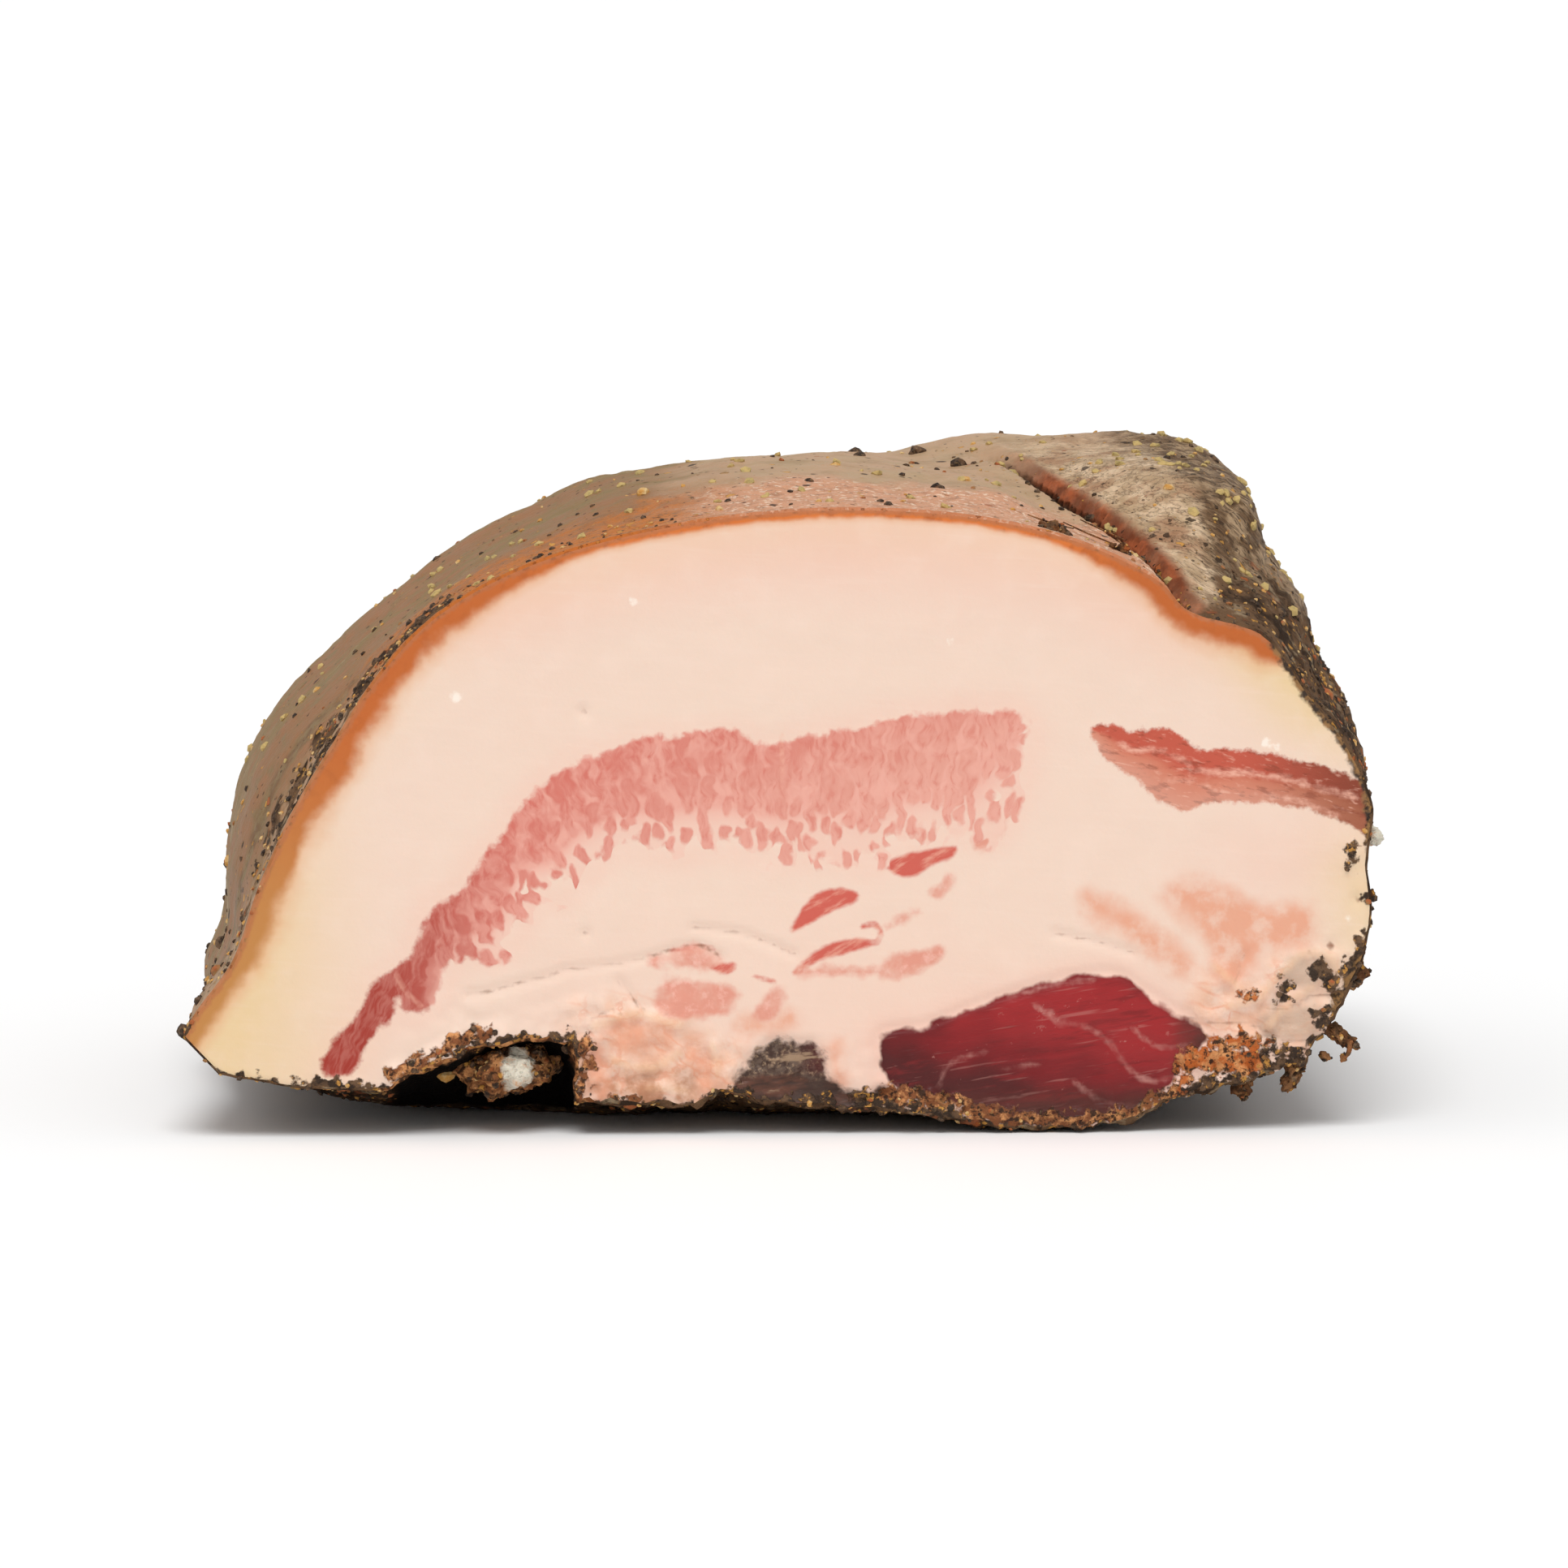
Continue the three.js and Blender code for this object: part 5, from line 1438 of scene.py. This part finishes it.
class GuancialeColours(bpy.types.PropertyGroup):
    """Colours of the cut, the skin and the pepper"""

    fat: colour_property("Fat", "Fat in the middle of the cut", (234, 208, 190))
    fat_white: colour_property("White Fat", "Palest fat", (240, 216, 200))
    fat_rosy: colour_property("Rosy Fat", "Fat under the rind and round the lean", (236, 194, 176))
    fat_yellow: colour_property("Yellow Fat", "Fat at the thin edge and the trimmed side", (228, 200, 156))
    # Also painted as the shade in the creases of the torn fat
    fat_orange: colour_property("Stained Fat", "Soft orange stains low on the cut", (226, 160, 130))
    fat_torn: colour_property("Torn Fat", "Torn fat by the hollow", (232, 186, 158))
    fat_brown: colour_property("Browned Fat", "Browned torn fat at the lower edge", (186, 132, 100))
    fat_grey: colour_property("Grey Fat", "Dried greyish fat by the crust", (192, 164, 142))
    tendon: colour_property("Tendon", "Tendons in the torn fat", (232, 190, 152))
    fat_core: colour_property("Fat in the Hollow", "Fat inside the lump that hangs in the hollow", (222, 214, 196))
    lean: colour_property("Lean", "Upper middle of the lean band", (210, 124, 110))
    lean_faded: colour_property("Faded Lean", "Right end of the lean band", (222, 156, 139))
    lean_deep: colour_property("Deep Lean", "Lower tip of the lean band", (160, 54, 42))
    lean_red: colour_property("Red Lean", "Small red streaks", (204, 96, 82))
    lean_pale: colour_property("Pale Lean", "Small faded streaks", (220, 148, 128))
    gap: colour_property("Lean Gaps", "Thin fat between the cells of the lean band", (232, 172, 156))
    gap_white: colour_property("Streak Seams", "White seams in the side streak", (232, 176, 154))
    streak: colour_property("Side Streak", "Streak that runs out to the trimmed side", (206, 126, 100))
    streak_red: colour_property("Red Streak", "Redder threads of the same streak", (192, 88, 68))
    streak_dried: colour_property("Dried Upper Streak", "Upper strand where it has dried", (132, 62, 42))
    streak_brown: colour_property("Dried Streak", "The same streak where it has dried", (158, 92, 66))
    muscle: colour_property("Muscle", "Dark muscle at the bottom", (122, 27, 30))
    # Also painted as the lit top right of the muscle
    muscle_bright: colour_property("Bright Muscle", "Brighter fibres of the muscle", (154, 38, 40))
    # Also painted as the shaded lower left of the muscle
    muscle_dark: colour_property("Dark Muscle", "Dark edge of the muscle", (82, 24, 24))
    muscle_brown: colour_property("Browned Muscle", "Dried lower edge of the muscle", (84, 44, 36))
    # Also painted as wet glints on the muscle, a painted highlight
    seam: colour_property("Seam", "White seams in the muscle", (198, 140, 130))
    # Partly painted shade: the cracks' own brown with the shade in them
    crack: colour_property("Crack", "Fine cracks low on the cut", (140, 92, 66))
    crystal: colour_property("Crystal", "White salt crystals", (250, 240, 228))
    dry: colour_property("Dried Meat", "Dried brown meat", (66, 46, 38))
    dry_grey: colour_property("Dried Fuzz", "Grey brown top of the dried meat", (104, 86, 74))
    dry_red: colour_property("Dried Red Meat", "Redder folds of the dried meat", (96, 60, 46))
    dry_pale: colour_property("Dried Fat", "Dried fat on its folds", (166, 138, 110))
    crumb: colour_property("Crumbs", "Brown crumbs beside the muscle", (132, 80, 48))
    crumb_dark: colour_property("Crumb Gaps", "Dark gaps between the crumbs", (66, 42, 28))
    crumb_bright: colour_property("Bright Crumbs", "Orange crumbs beside the muscle", (214, 150, 96))
    rind: colour_property("Rind", "Cut edge of the rind", (212, 116, 52))
    rind_deep: colour_property("Deep Rind", "Redder patches of the rind", (184, 96, 42))
    rind_inner: colour_property("Inner Rind", "Where the rind fades into fat", (222, 166, 124))
    rind_edge: colour_property("Rind Edge", "Dry outer edge of the rind", (176, 108, 68))
    rind_ochre: colour_property("Ochre Rind", "Rind near the thin edge", (190, 132, 72))
    ochre_brown: colour_property("Trimmed Rim", "Rim of the trimmed side", (146, 108, 66))
    skin: colour_property("Skin", "Beige skin", (182, 148, 118))
    skin_grey: colour_property("Grey Skin", "Greyer patches of the skin", (176, 148, 116))
    skin_warm: colour_property("Warm Skin", "Grainy pinkish skin by the cut", (204, 150, 118))
    skin_orange: colour_property("Orange Skin", "Orange patches of the skin", (186, 112, 54))
    skin_fleck: colour_property("Skin Flecks", "Pale flecks in the grainy skin", (230, 198, 172))
    skin_brown: colour_property("Brown Skin", "Pinkish brown skin of the left flank", (144, 108, 78))
    skin_ruddy: colour_property("Ruddy Skin", "Redder brown patches of the left flank", (152, 106, 72))
    # Painted view-angle shade of the left flank near its silhouette
    skin_glow: colour_property("Glowing Skin", "Skin of the left flank seen at a low angle", (128, 108, 60))
    # Painted highlight along the silhouette of the skin
    skin_edge: colour_property("Skin Edge", "Pale olive light along the edge of the skin", (196, 178, 132))
    skin_olive: colour_property("Olive Skin", "Thin olive shade over the skin", (130, 112, 80))
    skin_pale: colour_property("Pale Skin", "Pale skin of the hump", (212, 184, 152))
    skin_dark: colour_property("Dark Skin", "Dried skin towards the trimmed side", (110, 84, 60))
    skin_rosy: colour_property("Rosy Skin", "Rosy patches of the dried skin", (174, 126, 98))
    flake: colour_property("Flakes", "Ochre flakes of herbs on the skin", (194, 166, 106))
    flake_green: colour_property("Green Flakes", "Greener flakes of herbs", (166, 146, 94))
    fold: colour_property("Fold", "Reddish wall of the fold", (112, 60, 38))
    fold_bright: colour_property("Bright Fold", "Brighter patches of the same wall", (166, 90, 56))
    # Painted shade: near black for the shaded inside of the torn hollow
    hollow: colour_property("Hollow", "Inside of the torn hollow", (14, 10, 8))
    crust: colour_property("Crust", "Peppered crust", (108, 82, 60))
    # Also painted as the shade in the crevice under the fold's lip
    crust_dark: colour_property("Dark Crust", "Darkest crust", (58, 44, 34))
    crust_grey: colour_property("Grey Crust", "Pale patches of the crust", (150, 130, 104))
    crust_rust: colour_property("Rusty Crust", "Rust red patches of the crust", (138, 82, 54))
    pepper_black: colour_property("Black Pepper", "Husk of black pepper", (48, 36, 28))
    ochre: colour_property("Ochre Pepper", "Ochre grains and crumbs", (196, 142, 70))
    rust: colour_property("Rust Pepper", "Rust red grains", (164, 90, 50))
    pepper_pale: colour_property("Pepper Inside", "Pale inside of cracked pepper", (210, 180, 128))
    floor: colour_property("Floor", "Plain floor", (250, 250, 250))


def palette(context):
    """Every colour as a linear one, by name."""
    colours = context.scene.guanciale_colours
    return {name: linear([255 * part for part in getattr(colours, name)]) for name in GuancialeColours.__annotations__}


def meat_materials(context):
    colours = palette(context)
    cut = bpy.data.materials.get("cut_meat") or cut_material(colours)
    skin = bpy.data.materials.get("skin_and_crust") or skin_material(colours)
    return cut, skin


def piece_named(name):
    piece = bpy.context.scene.objects.get(name)
    if piece is None:
        raise RuntimeError(f"{name} isn't made yet")
    return piece


class GUANCIALE_OT_half(bpy.types.Operator):
    """Make the cut half with its rind, fat, lean and skin"""

    bl_idname = "guanciale.half"
    bl_label = "Cut Half"

    def execute(self, context):
        finish_piece(make_half(context.scene.guanciale_sizes, meat_materials(context)))
        return {"FINISHED"}


class GUANCIALE_OT_hanging(bpy.types.Operator):
    """Make the lump in the torn hollow and the shreds at the lower right corner"""

    bl_idname = "guanciale.hanging"
    bl_label = "Lump and Shreds"

    def execute(self, context):
        skin = meat_materials(context)[1]
        core_at = np.array([-34.2, 1.2, 8.3])
        lump = lumpy_ball(5, LUMP["at"], LUMP["size"], 0, 2.1, 31)
        knob = make_hanging(
            "hanging_lump", [lump], skin, 0.95, lambda p: np.linalg.norm((p - core_at) * (1.25, 0.45, 0.8), axis=1) - 2.7, 0.75
        )
        torn = [lumpy_ball(4, at, size, tilt, 0.8, 40 + k) for k, (at, size, tilt) in enumerate(SHREDS)]
        torn += [lumpy_ball(3, at, size, tilt, 0.35, 60 + k) for k, (at, size, tilt) in enumerate(CRUMBS)]
        torn.append(strand(CURL, 0.36))
        surface = as_parts(piece_named("half_guanciale").data)[0]
        surface = surface[surface[:, 2] > 50]
        for bristle in BRISTLES:
            heights = [surface[np.argmin(np.hypot(surface[:, 0] - x, surface[:, 1] - y)), 2] for x, y in bristle]
            torn.append(strand([(x, y, z + 0.7) for (x, y), z in zip(bristle, heights)], 0.13))
        for k, (x, y, size) in enumerate(TOP_CRUMBS):
            height = surface[np.argmin(np.hypot(surface[:, 0] - x, surface[:, 1] - y)), 2]
            torn.append(lumpy_ball(3, (x, y, height + 0.35 * size), (size, size, size * 0.8), 20 * k, 0.5, 90 + k))
        finish_piece(knob)
        shreds = make_hanging("torn_shreds", torn, skin, 0.9, lambda p: abs(p[:, 2] - 38.8) - 4, 0.35)
        finish_piece(shreds)
        return {"FINISHED"}


class GUANCIALE_OT_pepper(bpy.types.Operator):
    """Strew coarse and fine pepper over the crust, one piece for each kind"""

    bl_idname = "guanciale.pepper"
    bl_label = "Pepper"

    def execute(self, context):
        sizes, colours = context.scene.guanciale_sizes, palette(context)
        shapes = grain_shapes(6, 80)
        coarse = coarse_pepper()
        carriers = [piece_named(n) for n in ("half_guanciale", "hanging_lump", "torn_shreds")]
        for seed, (kind, look) in enumerate(GRAIN_KINDS.items()):
            material = pepper_material(f"{kind}_pepper", colours[look["colour"]], colours[look["second"]])
            span = (sizes.grain_smallest * look["size"], sizes.grain_largest * look["size"])
            density = getattr(sizes, f"{kind}_grains")
            parts = list(coarse[kind])
            for carrier in carriers:
                grains = strewn(carrier, "grains", shapes, material, density, span, seed, f"{kind}_cover")
                if grains.data.polygons:
                    parts.append(as_parts(grains.data))
                bpy.data.objects.remove(grains)
            points, faces = joined(parts)
            piece = mesh_object(f"{kind}_pepper", points, faces, [material])
            piece.data.shade_flat()
            finish_piece(piece)
        for shape in list(shapes.objects):
            bpy.data.objects.remove(shape)
        bpy.data.collections.remove(shapes)
        return {"FINISHED"}


class GUANCIALE_OT_stage(bpy.types.Operator):
    """Set the floor, the lights and the camera"""

    bl_idname = "guanciale.stage"
    bl_label = "Stage"

    def execute(self, context):
        scene = context.scene
        half = scene.guanciale_sizes.floor_size / 2
        corners = [(-half, -half, 0), (half, -half, 0), (half, half, 0), (-half, half, 0)]
        mesh = bpy.data.meshes.new("floor")
        mesh.from_pydata(corners, [], [(0, 1, 2, 3)])
        floor = bpy.data.objects.new("floor", mesh)
        scene.collection.objects.link(floor)
        material, n, where = new_material("floor")
        colour = palette(context)["floor"]
        cloudy = n.noise(where, 400, 2)
        finish_material(n, n.mix(n.step(cloudy, 0.3, 0.7, 0.0, 0.02), colour, (0.8, 0.8, 0.8, 1)), 0.6, cloudy, 0.0)
        mesh.materials.append(material)

        world = bpy.data.worlds.new("studio")
        scene.world = world
        world.use_nodes = True
        w = Nodes(world.node_tree)
        w.tree.nodes.clear()
        seen = w.add("ShaderNodeLightPath").outputs["Is Camera Ray"]
        strength = w.math("MULTIPLY_ADD", seen, SKY_SEEN - SKY_LIGHT, SKY_LIGHT)
        sky = w.add("ShaderNodeBackground", {"Color": (1, 1, 1, 1), "Strength": strength})
        w.put(w.add("ShaderNodeOutputWorld").inputs["Surface"], sky.outputs[0])

        light = bpy.data.lights.new("soft_key", "SUN")
        light.energy = SUN["strength"]
        light.angle = math.radians(SUN["angle"])
        lamp = bpy.data.objects.new("soft_key", light)
        lamp.rotation_euler = Vector(SUN["from"]).to_track_quat("Z", "Y").to_euler()
        scene.collection.objects.link(lamp)

        a, e = (math.radians(v) for v in CAMERA["angles"])
        back = Vector((math.sin(a) * math.cos(e), -math.cos(a) * math.cos(e), math.sin(e)))
        camera = bpy.data.objects.new("camera", bpy.data.cameras.new("camera"))
        camera.data.lens = CAMERA["lens"]
        camera.data.sensor_width = 36
        camera.location = Vector(CAMERA["target"]) * MM + back * CAMERA["distance"]
        camera.rotation_euler = back.to_track_quat("Z", "Y").to_euler()
        camera.data.clip_start, camera.data.clip_end = 0.05, 60
        scene.collection.objects.link(camera)
        scene.camera = camera
        scene.view_settings.view_transform = "Standard"
        scene.view_settings.look = "None"
        return {"FINISHED"}


OPERATORS = [GUANCIALE_OT_half, GUANCIALE_OT_hanging, GUANCIALE_OT_pepper, GUANCIALE_OT_stage]


class GUANCIALE_PT_panel(bpy.types.Panel):
    """The half guanciale's sizes, colours and pieces"""

    bl_label = "Guanciale"
    bl_idname = "GUANCIALE_PT_panel"
    bl_space_type = "VIEW_3D"
    bl_region_type = "UI"
    bl_category = "Guanciale"

    def draw(self, context):
        for operator in OPERATORS:
            self.layout.operator(operator.bl_idname)
        for group in (context.scene.guanciale_sizes, context.scene.guanciale_colours):
            box = self.layout.box()
            for name in type(group).__annotations__:
                box.prop(group, name)


CLASSES = [GuancialeSizes, GuancialeColours, *OPERATORS, GUANCIALE_PT_panel]


def register():
    for cls in CLASSES:
        bpy.utils.register_class(cls)
    bpy.types.Scene.guanciale_sizes = bpy.props.PointerProperty(type=GuancialeSizes)
    bpy.types.Scene.guanciale_colours = bpy.props.PointerProperty(type=GuancialeColours)


def unregister():
    del bpy.types.Scene.guanciale_colours
    del bpy.types.Scene.guanciale_sizes
    for cls in reversed(CLASSES):
        bpy.utils.unregister_class(cls)


def main():
    register()
    bpy.ops.guanciale.half()
    bpy.ops.guanciale.hanging()
    bpy.ops.guanciale.pepper()
    bpy.ops.guanciale.stage()


if __name__ == "__main__":
    main()
